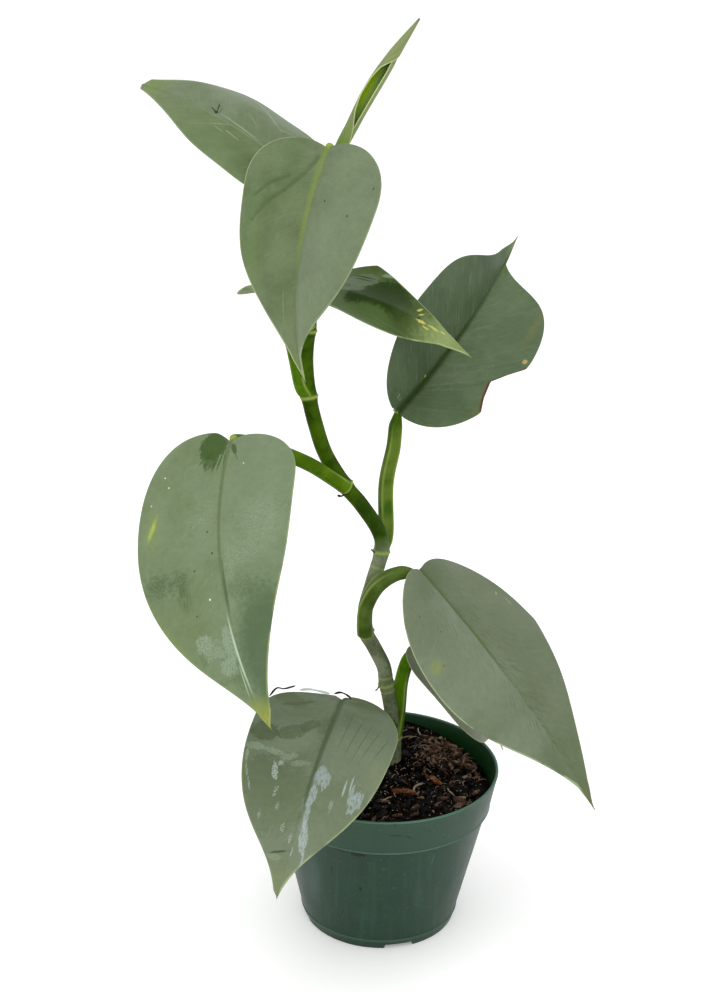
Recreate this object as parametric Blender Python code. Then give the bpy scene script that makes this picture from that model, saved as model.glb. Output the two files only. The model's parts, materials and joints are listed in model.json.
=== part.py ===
"""A young climbing philodendron with arrow-shaped silver leaves, rooted in soil in a small round nursery pot.

Sizes are in millimetres and angles in degrees, and meshes are turned to metres where they are made.
+Z is up, and -Y is the side that a viewer in front sees. Places in this script are measured from the
pot's axis, and the last step moves the origin to the middle of the base of the whole plant's box.
"""

import math
import random
from dataclasses import dataclass

import bmesh
import bpy
import numpy as np
from mathutils import Matrix

for old in list(bpy.data.objects):
    bpy.data.objects.remove(old, do_unlink=True)

MM = 0.001
GAP = 0.3  # clearance between touching pieces
MERGE_DISTANCE = 1e-6  # metres

# The pot: a thin moulded nursery pot, a 4 1/4 inch rim on a tapered body
POT_RIM_RADIUS = 54.0
POT_HEIGHT = 77.0
POT_FOOT_RADIUS = 36.0
POT_WALL = 1.3
BAND_BOTTOM = 59.0  # underside of the wider band below the rim
BAND_BOTTOM_RADIUS = 50.6
BODY_TOP_RADIUS = 49.6
FOOT_HEIGHT = 2.6
FOOT_RIDGE_HEIGHT = 4.8
FOOT_RIDGE = 0.35
FOOT_RING_WIDTH = 2.6
FOOT_DRAFT = 0.4  # how far the ring's inner side leans
RIDGE_SLOPE = 0.5
CORNER = 1.0  # chamfer where the wall meets the floor, and below the step inside
BAND_STEP = 0.4  # rounding under the band
RIM_ROUNDING = 0.8
RIM_CHAMFER = 0.5
FLOOR_THICKNESS = 1.4
POT_SEGMENTS = 48
SLOTS = 4  # openings in the foot, so that water can run out
SLOT_WIDTH = 15.0
SLOT_HEIGHT = 2.4
SLOT_DEPTH = 8.0
FIRST_SLOT = -75.0  # its direction from above, from +X
DRAIN_HOLE_RADIUS = 4.0
DRAIN_HOLE_CIRCLE = 22.0
DRAIN_HOLE_SIDES = 16
CUTTER_OVERRUN = 2.0

# The soil: its level at the wall swells and dips twice round the pot
SOIL_LEVEL = 70.0
SOIL_CORNER = 1.2
SOIL_SHOULDER = 2.0  # height above the band's underside where the soil is as wide as the wall again
SOIL_SWELL = 4.0
SOIL_SWELL_TURN = 100.0
SOIL_MOUND = 3.0
SOIL_MOUND_AT = (24.0, 16.0)
SOIL_MOUND_SPREAD = 13.0
SOIL_GRAIN = 1.1
SOIL_RINGS = (0.95, 0.86, 0.74, 0.60, 0.44, 0.26)
CHIP_COUNT = 36
CHIP_LENGTH = (5.0, 14.0)
CHIP_WIDTH = (2.4, 5.0)
CHIP_THICKNESS = (1.2, 2.2)
CHIP_TAPER = (0.3, 0.8)
CHIP_TILT = 0.25  # radians
CHIP_RAISE = 0.3
CHIP_REACH = 42.0
CHIP_CLEARANCE = 11.3  # from the stem's centre

# The stem climbs in a zigzag from node to node; each entry is a centre and whether a node ring is there
STEM_RADIUS = 3.3
NODE_SWELL = 0.6
NODE_HALF_LENGTH = 1.5
STEM_SIDES = 10
STEM_STEPS = 3
STEM_RING_SPACING = 1.3  # rings closer than this are left out
ROOT_END = 50.0
STEM_ROUTE = (
    ((6.0, 13.0, ROOT_END), False),
    ((5.5, 12.5, 70.0), False),
    ((5.0, 12.0, 84.0), True),
    ((3.3, 10.5, 99.0), False),
    ((0.6, 9.0, 113.7), True),
    ((-1.0, 8.0, 123.0), False),
    ((-6.0, 7.0, 133.6), False),
    ((-9.4, 6.0, 140.7), True),
    ((-10.0, 6.5, 152.0), False),
    ((-7.0, 7.5, 165.0), False),
    ((-3.4, 8.0, 180.0), True),
    ((-5.0, 8.0, 189.5), False),
    ((-13.0, 6.0, 202.5), False),
    ((-20.3, 4.0, 212.0), True),
    ((-29.0, 3.0, 226.3), False),
    ((-33.6, 2.0, 240.0), False),
    ((-36.6, 2.0, 252.7), True),
    ((-38.3, 2.5, 268.0), False),
    ((-37.5, 3.0, 282.0), True),
    ((-35.0, 2.0, 303.0), True),
    ((-34.0, 2.0, 311.0), False),
)

# Leaf blades and stalks
BLADE_THICKNESS = 0.8
BLADE_ROWS = 14
BLADE_COLUMNS = 4
OUTLINE_STEPS = 16
VEIN_SLOPE = 1.55  # side veins leave the midrib closer together near the stalk
MIDRIB_RADIUS = 1.5
MIDRIB_END_RADIUS = 0.45
MIDRIB_LENGTH_SHARE = 0.86
STALK_SHEATH_RADIUS = 3.5
STALK_TOP_RADIUS = 3.1
STALK_SIDES = 8
STALK_STEPS = 3
STALK_TAPER = 1.5
STALK_OVERLAP = 2.0  # how far the stalk runs on below the blade
MIDRIB_STEPS = 8
MIDRIB_SIDES = 6
MIDRIB_SINK = 0.9  # how far the ridge's centre lies below the blade, as a share of its radius

# How the blade's outline leaves and reaches its corners, as shares of each stretch (across, along)
NOTCH_HANDLE = (0.15, 0.8)
LOBE_HANDLE = 0.3
SIDE_HANDLE = (0.62, 0.6)
TAPER_HANDLE = (0.27, 0.3)
POINT_START_HANDLE = (0.3, 0.35)
POINT_END_HANDLE = (0.12, 0.4)

# The youngest leaf is still rolled up round itself
NEW_LEAF_STALK_RADIUS = 2.2
NEW_LEAF_RADIUS = 3.2
NEW_LEAF_EDGE = 0.24  # step of the roll's free edge, as a share of its radius
NEW_LEAF_SIDES = 14
NEW_LEAF_STEPS = 3
NEW_LEAF_ROUTE = (
    (-35.7, 5.0, 308.0),
    (-34.8, 7.2, 320.0),
    (-30.5, 7.8, 338.0),
    (-25.5, 8.0, 356.0),
    (-20.1, 10.0, 367.7),
    (-13.4, 13.0, 380.5),
    (-3.7, 18.0, 395.7),
    (6.2, 22.0, 409.5),
)
NEW_LEAF_BLADE_START = 0.42
NEW_LEAF_TAPER = 0.87

SOIL_SEED = 7


@dataclass
class Leaf:
    """One leaf: where its blade starts, how it lies in space, and its outline; pairs are (right, left)."""

    name: str
    base: tuple  # where the stalk meets the blade
    heading: float  # direction of the midrib seen from above, from +X
    pitch: float  # its slope at the base
    roll: float  # turn of the blade about the midrib
    arch: float  # how far the midrib bends down on its way to the tip
    sickle: float  # how far it bends sideways
    twist: float  # how far the blade turns about it
    fold: float  # how far the two halves rise from the midrib
    curl: tuple  # how far each half bends across, margin up when positive
    length: float
    half_width: float
    left_share: float  # left half's width beside the right half's
    widest: tuple  # where each half is widest, as a share of the length
    lobe_out: float
    lobe_back: tuple  # how far the lobes reach behind the base
    tip_length: float
    tip_width: tuple
    fullness: tuple
    stalk: tuple  # stalk's route from the stem up to the blade
    bite: tuple = ()  # a torn edge in the right half: places along the midrib and how far the blade reaches


LEAVES = (
    Leaf(
        "leaf_top_front", base=(-29.7, -8.0, 360.0), heading=-125.3, pitch=-55.2, roll=-1.9,
        arch=60.3, sickle=-8.4, twist=14.1, fold=21, curl=(-32, -35),
        length=102.4, half_width=34.5, left_share=1.02, widest=(0.18, 0.215),
        lobe_out=0.26, lobe_back=(1.6, 1.5),
        tip_length=13.9, tip_width=(4.0, 1.5), fullness=(0.64, 0.56),
        stalk=((-35.0, 2.0, 304.0), (-29.5, -1.5, 318.0), (-27.0, -1.5, 338.0), (-27.5, -3.5, 353.0)),
    ),
    Leaf(
        "leaf_top_left", base=(-38.0, 20.0, 341.4), heading=164.6, pitch=37.8, roll=-32.1,
        arch=33.7, sickle=-0.3, twist=-0.8, fold=9, curl=(-41, -10),
        length=92.2, half_width=25.9, left_share=0.96, widest=(0.29, 0.265), lobe_out=0.30, lobe_back=(4, 2),
        tip_length=2, tip_width=(5.0, 3.2), fullness=(0.75, 0.47),
        stalk=(
            (-37.3, 2.5, 283.0), (-41.5, 0.0, 295.0), (-43.5, 3.0, 310.0),
            (-42.5, 10.0, 325.0), (-39.5, 17.5, 337.0),
        ),
    ),
    Leaf(
        "leaf_right_upper", base=(2.3, 32.3, 238.1), heading=42.4, pitch=33.9, roll=59.2,
        arch=17.7, sickle=11.2, twist=-0.9, fold=36, curl=(9, -11),
        length=121.7, half_width=37.9, left_share=0.90, widest=(0.385, 0.36),
        lobe_out=0.13, lobe_back=(0.9, 1.4),
        tip_length=20.8, tip_width=(0.9, 7.9), fullness=(0.79, 0.68),
        stalk=(
            (-3.4, 9.0, 180.0), (-1.6, 14.2, 187.0), (-2.1, 19.4, 207.8),
            (0.9, 27.0, 223.1), (1.8, 31.4, 232.3),
        ),
        bite=((19.1, 32.5), (25.2, 29.4), (34.5, 26.8), (41.2, 31.9), (47.4, 38.1)),
    ),
    Leaf(
        "leaf_lower_right", base=(13.5, -6.0, 177.0), heading=-24.6, pitch=-41.1, roll=-7.7,
        arch=10.1, sickle=-6.2, twist=28.8, fold=7, curl=(-35, -7),
        length=130.2, half_width=41.8, left_share=1.04, widest=(0.305, 0.375),
        lobe_out=0.18, lobe_back=(2.1, 0.7),
        tip_length=11.9, tip_width=(1.5, 4.5), fullness=(0.46, 0.08),
        stalk=(
            (-9.5, 3.0, 141.0), (-10.1, -1.0, 150.0), (-9.3, -2.5, 158.0),
            (-4.2, -4.5, 168.3), (4.5, -6.0, 175.0),
        ),
    ),
    Leaf(
        "leaf_behind_stem", base=(-56.0, 49.7, 290.7), heading=-23.7, pitch=14.4, roll=-9.5,
        arch=59, sickle=8.1, twist=41.4, fold=-22.4, curl=(62.0, 44.2),
        length=102.8, half_width=30.2, left_share=1.14, widest=(0.415, 0.375),
        lobe_out=0.355, lobe_back=(10.7, 13.2),
        tip_length=16, tip_width=(4.6, 4.6), fullness=(0.21, 0.01),
        stalk=(
            (-36.6, 2.0, 253.5), (-39.3, 2.0, 258.0), (-41.7, 6.0, 267.1), (-43.9, 14.0, 272.6),
            (-47.1, 25.0, 276.6), (-51.3, 36.0, 281.1), (-55.0, 45.0, 286.0),
        ),
    ),
    Leaf(
        "leaf_middle_left", base=(-68.5, -22.0, 239.6), heading=-103.8, pitch=-41.5, roll=16.2,
        arch=44, sickle=24.6, twist=-1.2, fold=3, curl=(-5, 1),
        length=127.1, half_width=39.0, left_share=0.92, widest=(0.305, 0.175),
        lobe_out=0.25, lobe_back=(4.4, 2.3),
        tip_length=8.7, tip_width=(1.9, 4.2), fullness=(0.57, 0.45),
        stalk=(
            (-20.0, 3.0, 211.7), (-25.6, -2.0, 217.4), (-36.3, -9.0, 226.3),
            (-52.0, -13.0, 234.0), (-64.0, -17.0, 239.0),
        ),
    ),
    Leaf(
        "leaf_lower_front", base=(-19.0, -20.0, 119.0), heading=-103, pitch=-6, roll=-1.6,
        arch=33.4, sickle=-2.3, twist=7.4, fold=-1, curl=(13, -19),
        length=108.2, half_width=34.0, left_share=0.88, widest=(0.20, 0.21),
        lobe_out=0.13, lobe_back=(2.5, 3.4),
        tip_length=3.7, tip_width=(2.4, 0.9), fullness=(0.67, 0.70),
        stalk=((4.3, 11.5, 91.0), (-1.5, 3.5, 96.0), (-10.0, -7.0, 106.0), (-16.5, -15.0, 114.5)),
    ),
    Leaf(
        "leaf_lower_back", base=(14.8, 16.5, 130.0), heading=20, pitch=-40.7, roll=33.9,
        arch=31.8, sickle=3.0, twist=9.3, fold=9, curl=(-1, -10),
        length=94.3, half_width=29.1, left_share=0.73, widest=(0.31, 0.30), lobe_out=0.42, lobe_back=(8.5, 5),
        tip_length=17.3, tip_width=(2.1, 2.5), fullness=(0.61, 0.61),
        stalk=(
            (5.2, 12.2, 83.5), (6.9, 14.0, 97.0), (7.7, 14.7, 110.8),
            (9.8, 15.7, 120.3), (12.8, 16.0, 127.0),
        ),
    ),
)


def material(name, colour, roughness):
    """A Principled material with a plain colour, given as linear red, green and blue."""
    made = bpy.data.materials.new(name)
    made.use_nodes = True
    shader = made.node_tree.nodes["Principled BSDF"]
    shader.inputs["Base Color"].default_value = (*colour, 1.0)
    shader.inputs["Roughness"].default_value = roughness
    shader.inputs["Metallic"].default_value = 0.0
    return made


GREEN_PLASTIC = material("green_plastic", (0.03, 0.08, 0.05), 0.45)
POTTING_SOIL = material("potting_soil", (0.02, 0.012, 0.008), 0.95)
GREEN_STEM = material("green_stem", (0.09, 0.16, 0.03), 0.5)
SILVER_LEAF = material("silver_leaf", (0.18, 0.24, 0.15), 0.5)


def add_object(name, points, faces, surface, smooth_angle=40.0):
    """One named object from points in millimetres, with its faces turned outwards."""
    mesh = bpy.data.meshes.new(name)
    mesh.from_pydata([tuple(float(value) * MM for value in point) for point in points], [], faces)
    shell = bmesh.new()
    shell.from_mesh(mesh)
    bmesh.ops.triangulate(shell, faces=[face for face in shell.faces if len(face.verts) > 4])
    bmesh.ops.recalc_face_normals(shell, faces=shell.faces)
    shell.to_mesh(mesh)
    shell.free()
    mesh.materials.append(surface)
    made = bpy.data.objects.new(name, mesh)
    bpy.context.scene.collection.objects.link(made)
    mesh.shade_smooth()
    mesh.set_sharp_from_angle(angle=math.radians(smooth_angle))
    return made


def keep_main_body(mesh):
    """Keeps the largest connected body: small scraps and hollows that a union sealed are dropped."""
    shell = bmesh.new()
    shell.from_mesh(mesh)
    bmesh.ops.dissolve_degenerate(shell, dist=MERGE_DISTANCE, edges=shell.edges)
    left = set(shell.faces)
    bodies = []
    while left:
        body, edge_of_search = set(), [left.pop()]
        while edge_of_search:
            face = edge_of_search.pop()
            body.add(face)
            for edge in face.edges:
                near = [other for other in edge.link_faces if other in left]
                left.difference_update(near)
                edge_of_search += near
        bodies.append(body)
    main = max(bodies, key=len)
    scraps = [face for face in shell.faces if face not in main]
    bmesh.ops.delete(shell, geom=scraps, context="FACES")
    bmesh.ops.triangulate(shell, faces=shell.faces)
    shell.to_mesh(mesh)
    shell.free()


def combine(target, tools, operation):
    """Joins the tools to the target, or cuts them from it, and takes the tools away."""
    group = bpy.data.collections.new("tools")
    bpy.context.scene.collection.children.link(group)
    for tool in tools:
        group.objects.link(tool)
        bpy.context.scene.collection.objects.unlink(tool)
    step = target.modifiers.new(operation, "BOOLEAN")
    step.operation = operation
    step.operand_type = "COLLECTION"
    step.collection = group
    graph = bpy.context.evaluated_depsgraph_get()
    result = bpy.data.meshes.new_from_object(target.evaluated_get(graph))
    target.modifiers.clear()
    target.data = result
    keep_main_body(result)
    for tool in tools:
        bpy.data.objects.remove(tool, do_unlink=True)
    bpy.data.collections.remove(group)


def lathe(name, profile, segments, surface):
    """Turns a closed profile of (radius, height) points about Z; points on the axis become one point."""
    points, rings = [], []
    for radius, height in profile:
        if radius == 0.0:
            rings.append([len(points)] * segments)
            points.append((0.0, 0.0, height))
            continue
        rings.append(list(range(len(points), len(points) + segments)))
        for step in range(segments):
            angle = 2 * math.pi * step / segments
            points.append((radius * math.cos(angle), radius * math.sin(angle), height))
    faces = []
    pairs = zip(rings, rings[1:] + rings[:1])
    for lower, upper in pairs:
        for step in range(segments):
            after = (step + 1) % segments
            corners = [lower[step], lower[after], upper[after], upper[step]]
            corners = list(dict.fromkeys(corners))
            if len(corners) > 2:
                faces.append(corners)
    return add_object(name, points, faces, surface)


def smooth_route(route, steps):
    """Points on a Catmull-Rom curve through the route, with this many steps between its points."""
    knots = np.array(route, float)
    ends = (2 * knots[0] - knots[1], 2 * knots[-1] - knots[-2])
    knots = np.vstack((ends[0], knots, ends[1]))
    curve = []
    for index in range(1, len(knots) - 2):
        before, here, after, beyond = knots[index - 1:index + 3]
        for step in range(steps):
            t = step / steps
            curve.append(0.5 * (
                2 * here + (after - before) * t
                + (2 * before - 5 * here + 4 * after - beyond) * t ** 2
                + (3 * here - before - 3 * after + beyond) * t ** 3
            ))
    curve.append(knots[-2])
    return np.array(curve)


def unit(vector):
    return vector / np.linalg.norm(vector)


def turned(vector, axis, angle):
    """The vector turned about a unit axis."""
    cosine, sine = math.cos(angle), math.sin(angle)
    return vector * cosine + np.cross(axis, vector) * sine + axis * (axis @ vector) * (1 - cosine)


def tube(name, centres, radii, sides, surface, free_edge=0.0):
    """A closed tube along the centres; a free edge makes its section a spiral with one small step."""
    centres = np.array(centres, float)
    tangents = np.gradient(centres, axis=0)
    side = unit(np.cross(tangents[0], (0.0, 1.0, 0.3)))
    points = []
    for centre, tangent, radius in zip(centres, tangents, radii):
        forward = unit(tangent)
        side = unit(side - forward * (side @ forward))
        across = np.cross(forward, side)
        for corner in range(sides):
            share = corner / (sides - 1) if free_edge else 0.0
            angle = 2 * math.pi * corner / sides
            reach = radius * (1 - free_edge * share)
            points.append(centre + reach * (math.cos(angle) * side + math.sin(angle) * across))
    faces = []
    for ring in range(len(centres) - 1):
        for corner in range(sides):
            after = (corner + 1) % sides
            first = ring * sides
            second = first + sides
            faces.append((first + corner, first + after, second + after, second + corner))
    last = (len(centres) - 1) * sides
    faces.append(tuple(range(sides))[::-1])
    faces.append(tuple(range(last, last + sides)))
    return add_object(name, points, faces, surface, smooth_angle=60.0)


def stem_tube(name, extra=0.0):
    """The zigzag stem, with a low ring at each node; extra makes it thicker, as a cutter."""
    centres, radii = [], []
    steps = STEM_STEPS
    route = smooth_route([point for point, _ in STEM_ROUTE], steps)
    for index, (_, is_node) in enumerate(STEM_ROUTE):
        here = index * steps
        centre = route[here]
        if is_node:
            along = unit(route[here + 1] - route[here - 1]) * NODE_HALF_LENGTH
            centres += [centre - along, centre, centre + along]
            radii += [STEM_RADIUS, STEM_RADIUS + NODE_SWELL, STEM_RADIUS]
        else:
            centres.append(centre)
            radii.append(STEM_RADIUS)
        if index + 1 < len(STEM_ROUTE):
            centres += list(route[here + 1:here + steps])
            radii += [STEM_RADIUS] * (steps - 1)
    kept = [0]
    for index in range(1, len(centres)):
        if np.linalg.norm(centres[index] - centres[kept[-1]]) > STEM_RING_SPACING:
            kept.append(index)
    centres = [centres[k] for k in kept]
    centres[0] = centres[0] + unit(centres[0] - centres[1]) * extra
    centres[-1] = centres[-1] + unit(centres[-1] - centres[-2]) * extra
    return tube(name, centres, [radii[k] + extra for k in kept], STEM_SIDES, GREEN_STEM)


def bezier(start, leave, arrive, end, steps):
    """Points on a cubic curve, without its end."""
    t = np.arange(steps)[:, None] / steps
    start, leave, arrive, end = (np.array(point, float) for point in (start, leave, arrive, end))
    return (
        (1 - t) ** 3 * start + 3 * (1 - t) ** 2 * t * leave
        + 3 * (1 - t) * t ** 2 * arrive + t ** 3 * end
    )


def half_outline(leaf, half):
    """One half's margin from the notch at the stalk to the tip, as (distance from midrib, along midrib)."""
    back = leaf.lobe_back[half]
    width = leaf.half_width * (1.0, leaf.left_share)[half]
    notch = np.array((0.0, 0.0))
    lobe = np.array((leaf.lobe_out * width, -back))
    broad = np.array((width, leaf.widest[half] * leaf.length))
    shoulder = np.array((leaf.tip_width[half], leaf.length - leaf.tip_length))
    tip = np.array((0.0, leaf.length))
    side = (width - lobe[0], broad[1] + back)
    taper = (width - shoulder[0], shoulder[1] - broad[1])
    point = (shoulder[0], leaf.tip_length)
    leave_notch = (NOTCH_HANDLE[0] * width, -NOTCH_HANDLE[1] * back)
    leave_shoulder = (-POINT_START_HANDLE[0] * point[0], POINT_START_HANDLE[1] * point[1])
    reach_tip = (POINT_END_HANDLE[0] * point[0], -POINT_END_HANDLE[1] * point[1])
    stretches = (
        (notch, notch + leave_notch, lobe - (LOBE_HANDLE * lobe[0], 0), lobe),
        (lobe, lobe + (SIDE_HANDLE[0] * side[0], 0), broad - (0, SIDE_HANDLE[1] * side[1]), broad),
        (broad, broad + (0, leaf.fullness[half] * taper[1]),
         shoulder + (TAPER_HANDLE[0] * taper[0], -TAPER_HANDLE[1] * taper[1]), shoulder),
        (shoulder, shoulder + leave_shoulder, tip + reach_tip, tip),
    )
    margin = np.vstack([bezier(*stretch, OUTLINE_STEPS) for stretch in stretches] + [tip])
    if leaf.bite and half == 0:
        places, reaches = zip(*leaf.bite)
        torn = (margin[:, 1] > places[0]) & (margin[:, 1] < places[-1])
        allowed = np.interp(margin[:, 1], places, reaches)
        margin[:, 0] = np.where(torn, np.minimum(margin[:, 0], allowed), margin[:, 0])
    return margin


def rows_along(margin, rows):
    """The margin cut into equal lengths."""
    reach = np.concatenate(([0.0], np.cumsum(np.linalg.norm(np.diff(margin, axis=0), axis=1))))
    stops = np.linspace(0, reach[-1], rows + 1)
    return np.stack([np.interp(stops, reach, margin[:, axis]) for axis in (0, 1)], axis=1)


def midrib_frames(leaf, steps=40):
    """Places, directions and upper normals along the midrib, which arches, bends sideways and twists."""
    heading, pitch, roll = (math.radians(angle) for angle in (leaf.heading, leaf.pitch, leaf.roll))
    forward = np.array((
        math.cos(heading) * math.cos(pitch), math.sin(heading) * math.cos(pitch), math.sin(pitch),
    ))
    normal = unit(np.array((0.0, 0.0, 1.0)) - forward[2] * forward)
    normal = turned(normal, forward, roll)
    place = np.array(leaf.base, float)
    places, directions, normals = [place], [forward], [normal]
    stride = leaf.length / steps
    for _ in range(steps):
        side = np.cross(forward, normal)
        arched = turned(forward, side, -math.radians(leaf.arch) / steps)
        normal = turned(normal, side, -math.radians(leaf.arch) / steps)
        arched = turned(arched, normal, math.radians(leaf.sickle) / steps)
        normal = turned(normal, arched, math.radians(leaf.twist) / steps)
        place = place + stride * (forward + arched) / 2
        forward = unit(arched)
        normal = unit(normal - forward * (normal @ forward))
        places.append(place)
        directions.append(forward)
        normals.append(normal)
    return np.array(places), np.array(directions), np.array(normals)


def on_blade(leaf, frames, across, along):
    """A point of the blade's middle surface, from its place on the flat outline."""
    places, directions, normals = frames
    stops = np.linspace(0, leaf.length, len(places))
    clipped = min(max(along, 0.0), leaf.length)
    place, forward, normal = (
        np.array([np.interp(clipped, stops, values[:, axis]) for axis in range(3)])
        for values in (places, directions, normals)
    )
    place = place + forward * min(along, 0.0)
    side = np.cross(forward, normal)
    bend = math.radians(leaf.curl[0 if across > 0 else 1])
    bend = bend if abs(bend) > 0.001 else 0.001
    fold = math.radians(leaf.fold)
    share = abs(across) / leaf.half_width
    out = leaf.half_width * (math.sin(fold + bend * share) - math.sin(fold)) / bend
    rise = -leaf.half_width * (math.cos(fold + bend * share) - math.cos(fold)) / bend
    return place + math.copysign(out, across) * side + rise * normal


def blade(leaf, frames):
    """The thin closed blade: rows from the midrib to the margin, alike on both faces."""
    rows, columns = BLADE_ROWS, BLADE_COLUMNS
    ribs = leaf.length * (np.arange(rows + 1) / rows) ** VEIN_SLOPE
    flat = [(0.0, along) for along in ribs]
    number = {}
    for half in (0, 1):
        sign = (1, -1)[half]
        margin = rows_along(half_outline(leaf, half), rows)
        for row in range(1, rows):
            number[half, row, 0] = row
            for column in range(1, columns + 1):
                share = column / columns
                number[half, row, column] = len(flat)
                flat.append((
                    sign * margin[row, 0] * share, ribs[row] + (margin[row, 1] - ribs[row]) * share,
                ))
        for column in range(columns + 1):
            number[half, 0, column] = 0
            number[half, rows, column] = rows
    triangles = []
    for half in (0, 1):
        for row in range(rows):
            for column in range(columns):
                corners = [
                    number[half, row, column], number[half, row, column + 1],
                    number[half, row + 1, column + 1], number[half, row + 1, column],
                ]
                if half:
                    corners.reverse()
                for picked in ((0, 1, 2), (0, 2, 3)):
                    triangle = tuple(corners[k] for k in picked)
                    if len(set(triangle)) == 3:
                        triangles.append(triangle)
    middle = np.array([on_blade(leaf, frames, across, along) for across, along in flat])
    normals = np.zeros_like(middle)
    for first, second, third in triangles:
        face = np.cross(middle[second] - middle[first], middle[third] - middle[first])
        for corner in (first, second, third):
            normals[corner] += face
    normals /= np.linalg.norm(normals, axis=1, keepdims=True)
    half_thickness = BLADE_THICKNESS / 2
    points = list(middle + normals * half_thickness) + list(middle - normals * half_thickness)
    count = len(flat)
    faces = list(triangles)
    faces += [(third + count, second + count, first + count) for first, second, third in triangles]
    rim = [number[0, row, columns] for row in range(rows + 1)]
    rim += [number[1, row, columns] for row in range(rows - 1, 0, -1)]
    for here, after in zip(rim, rim[1:] + rim[:1]):
        faces.append((here, after, after + count))
        faces.append((here, after + count, here + count))
    return add_object(leaf.name, points, faces, SILVER_LEAF, smooth_angle=50.0)


def midrib_ridge(leaf, frames):
    """The round ridge below the midrib, thick at the stalk and thin towards the tip."""
    places, _, normals = frames
    stops = np.linspace(0, leaf.length, len(places))
    centres, radii = [], []
    for step in range(MIDRIB_STEPS + 1):
        share = step / MIDRIB_STEPS
        along = share * MIDRIB_LENGTH_SHARE * leaf.length
        radius = MIDRIB_RADIUS + (MIDRIB_END_RADIUS - MIDRIB_RADIUS) * share
        place, normal = (
            np.array([np.interp(along, stops, values[:, axis]) for axis in range(3)])
            for values in (places, normals)
        )
        centres.append(place - normal * radius * MIDRIB_SINK)
        radii.append(radius)
    return tube("midrib", centres, radii, MIDRIB_SIDES, GREEN_STEM)


def leaf_stalk(leaf, frames):
    """The stalk from the stem up to the midrib, wider where it clasps the stem."""
    places, directions, normals = frames
    join = places[0] - normals[0] * MIDRIB_RADIUS + directions[0] * STALK_OVERLAP
    route = smooth_route(list(leaf.stalk) + [join], STALK_STEPS)
    share = np.linspace(0, 1, len(route))
    radii = STALK_SHEATH_RADIUS + (STALK_TOP_RADIUS - STALK_SHEATH_RADIUS) * share ** STALK_TAPER
    return tube("stalk", route, radii, STALK_SIDES, GREEN_STEM)


def leaf_with_stalk(leaf):
    """A whole leaf as it grew: blade, midrib ridge and stalk in one, clasping the stem with a small gap."""
    frames = midrib_frames(leaf)
    made = blade(leaf, frames)
    combine(made, [midrib_ridge(leaf, frames), leaf_stalk(leaf, frames)], "UNION")
    combine(made, [stem_tube("stem_space", GAP)], "DIFFERENCE")


def new_leaf():
    """The rolled leaf at the top: a thin round stalk that widens into a roll with a free edge."""
    route = smooth_route(NEW_LEAF_ROUTE, NEW_LEAF_STEPS)
    share = np.linspace(0, 1, len(route))
    blade_share = np.clip((share - NEW_LEAF_BLADE_START) / (1 - NEW_LEAF_BLADE_START), 0, 1)
    radii = NEW_LEAF_STALK_RADIUS + (NEW_LEAF_RADIUS - NEW_LEAF_STALK_RADIUS) * np.sin(math.pi * blade_share)
    radii = radii * (1 - NEW_LEAF_TAPER * blade_share ** 3)
    made = tube("leaf_new_rolled", route, radii, NEW_LEAF_SIDES, SILVER_LEAF, NEW_LEAF_EDGE)
    combine(made, [stem_tube("stem_space", GAP)], "DIFFERENCE")


def wall_radius(height, outside=True):
    """Radius of the pot's wall at a height, outside or inside."""
    if height < BAND_BOTTOM:
        share = height / BAND_BOTTOM
        radius = POT_FOOT_RADIUS + (BODY_TOP_RADIUS - POT_FOOT_RADIUS) * share
    else:
        share = (height - BAND_BOTTOM) / (POT_HEIGHT - BAND_BOTTOM)
        radius = BAND_BOTTOM_RADIUS + (POT_RIM_RADIUS - BAND_BOTTOM_RADIUS) * share
    return radius if outside else radius - POT_WALL


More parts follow.
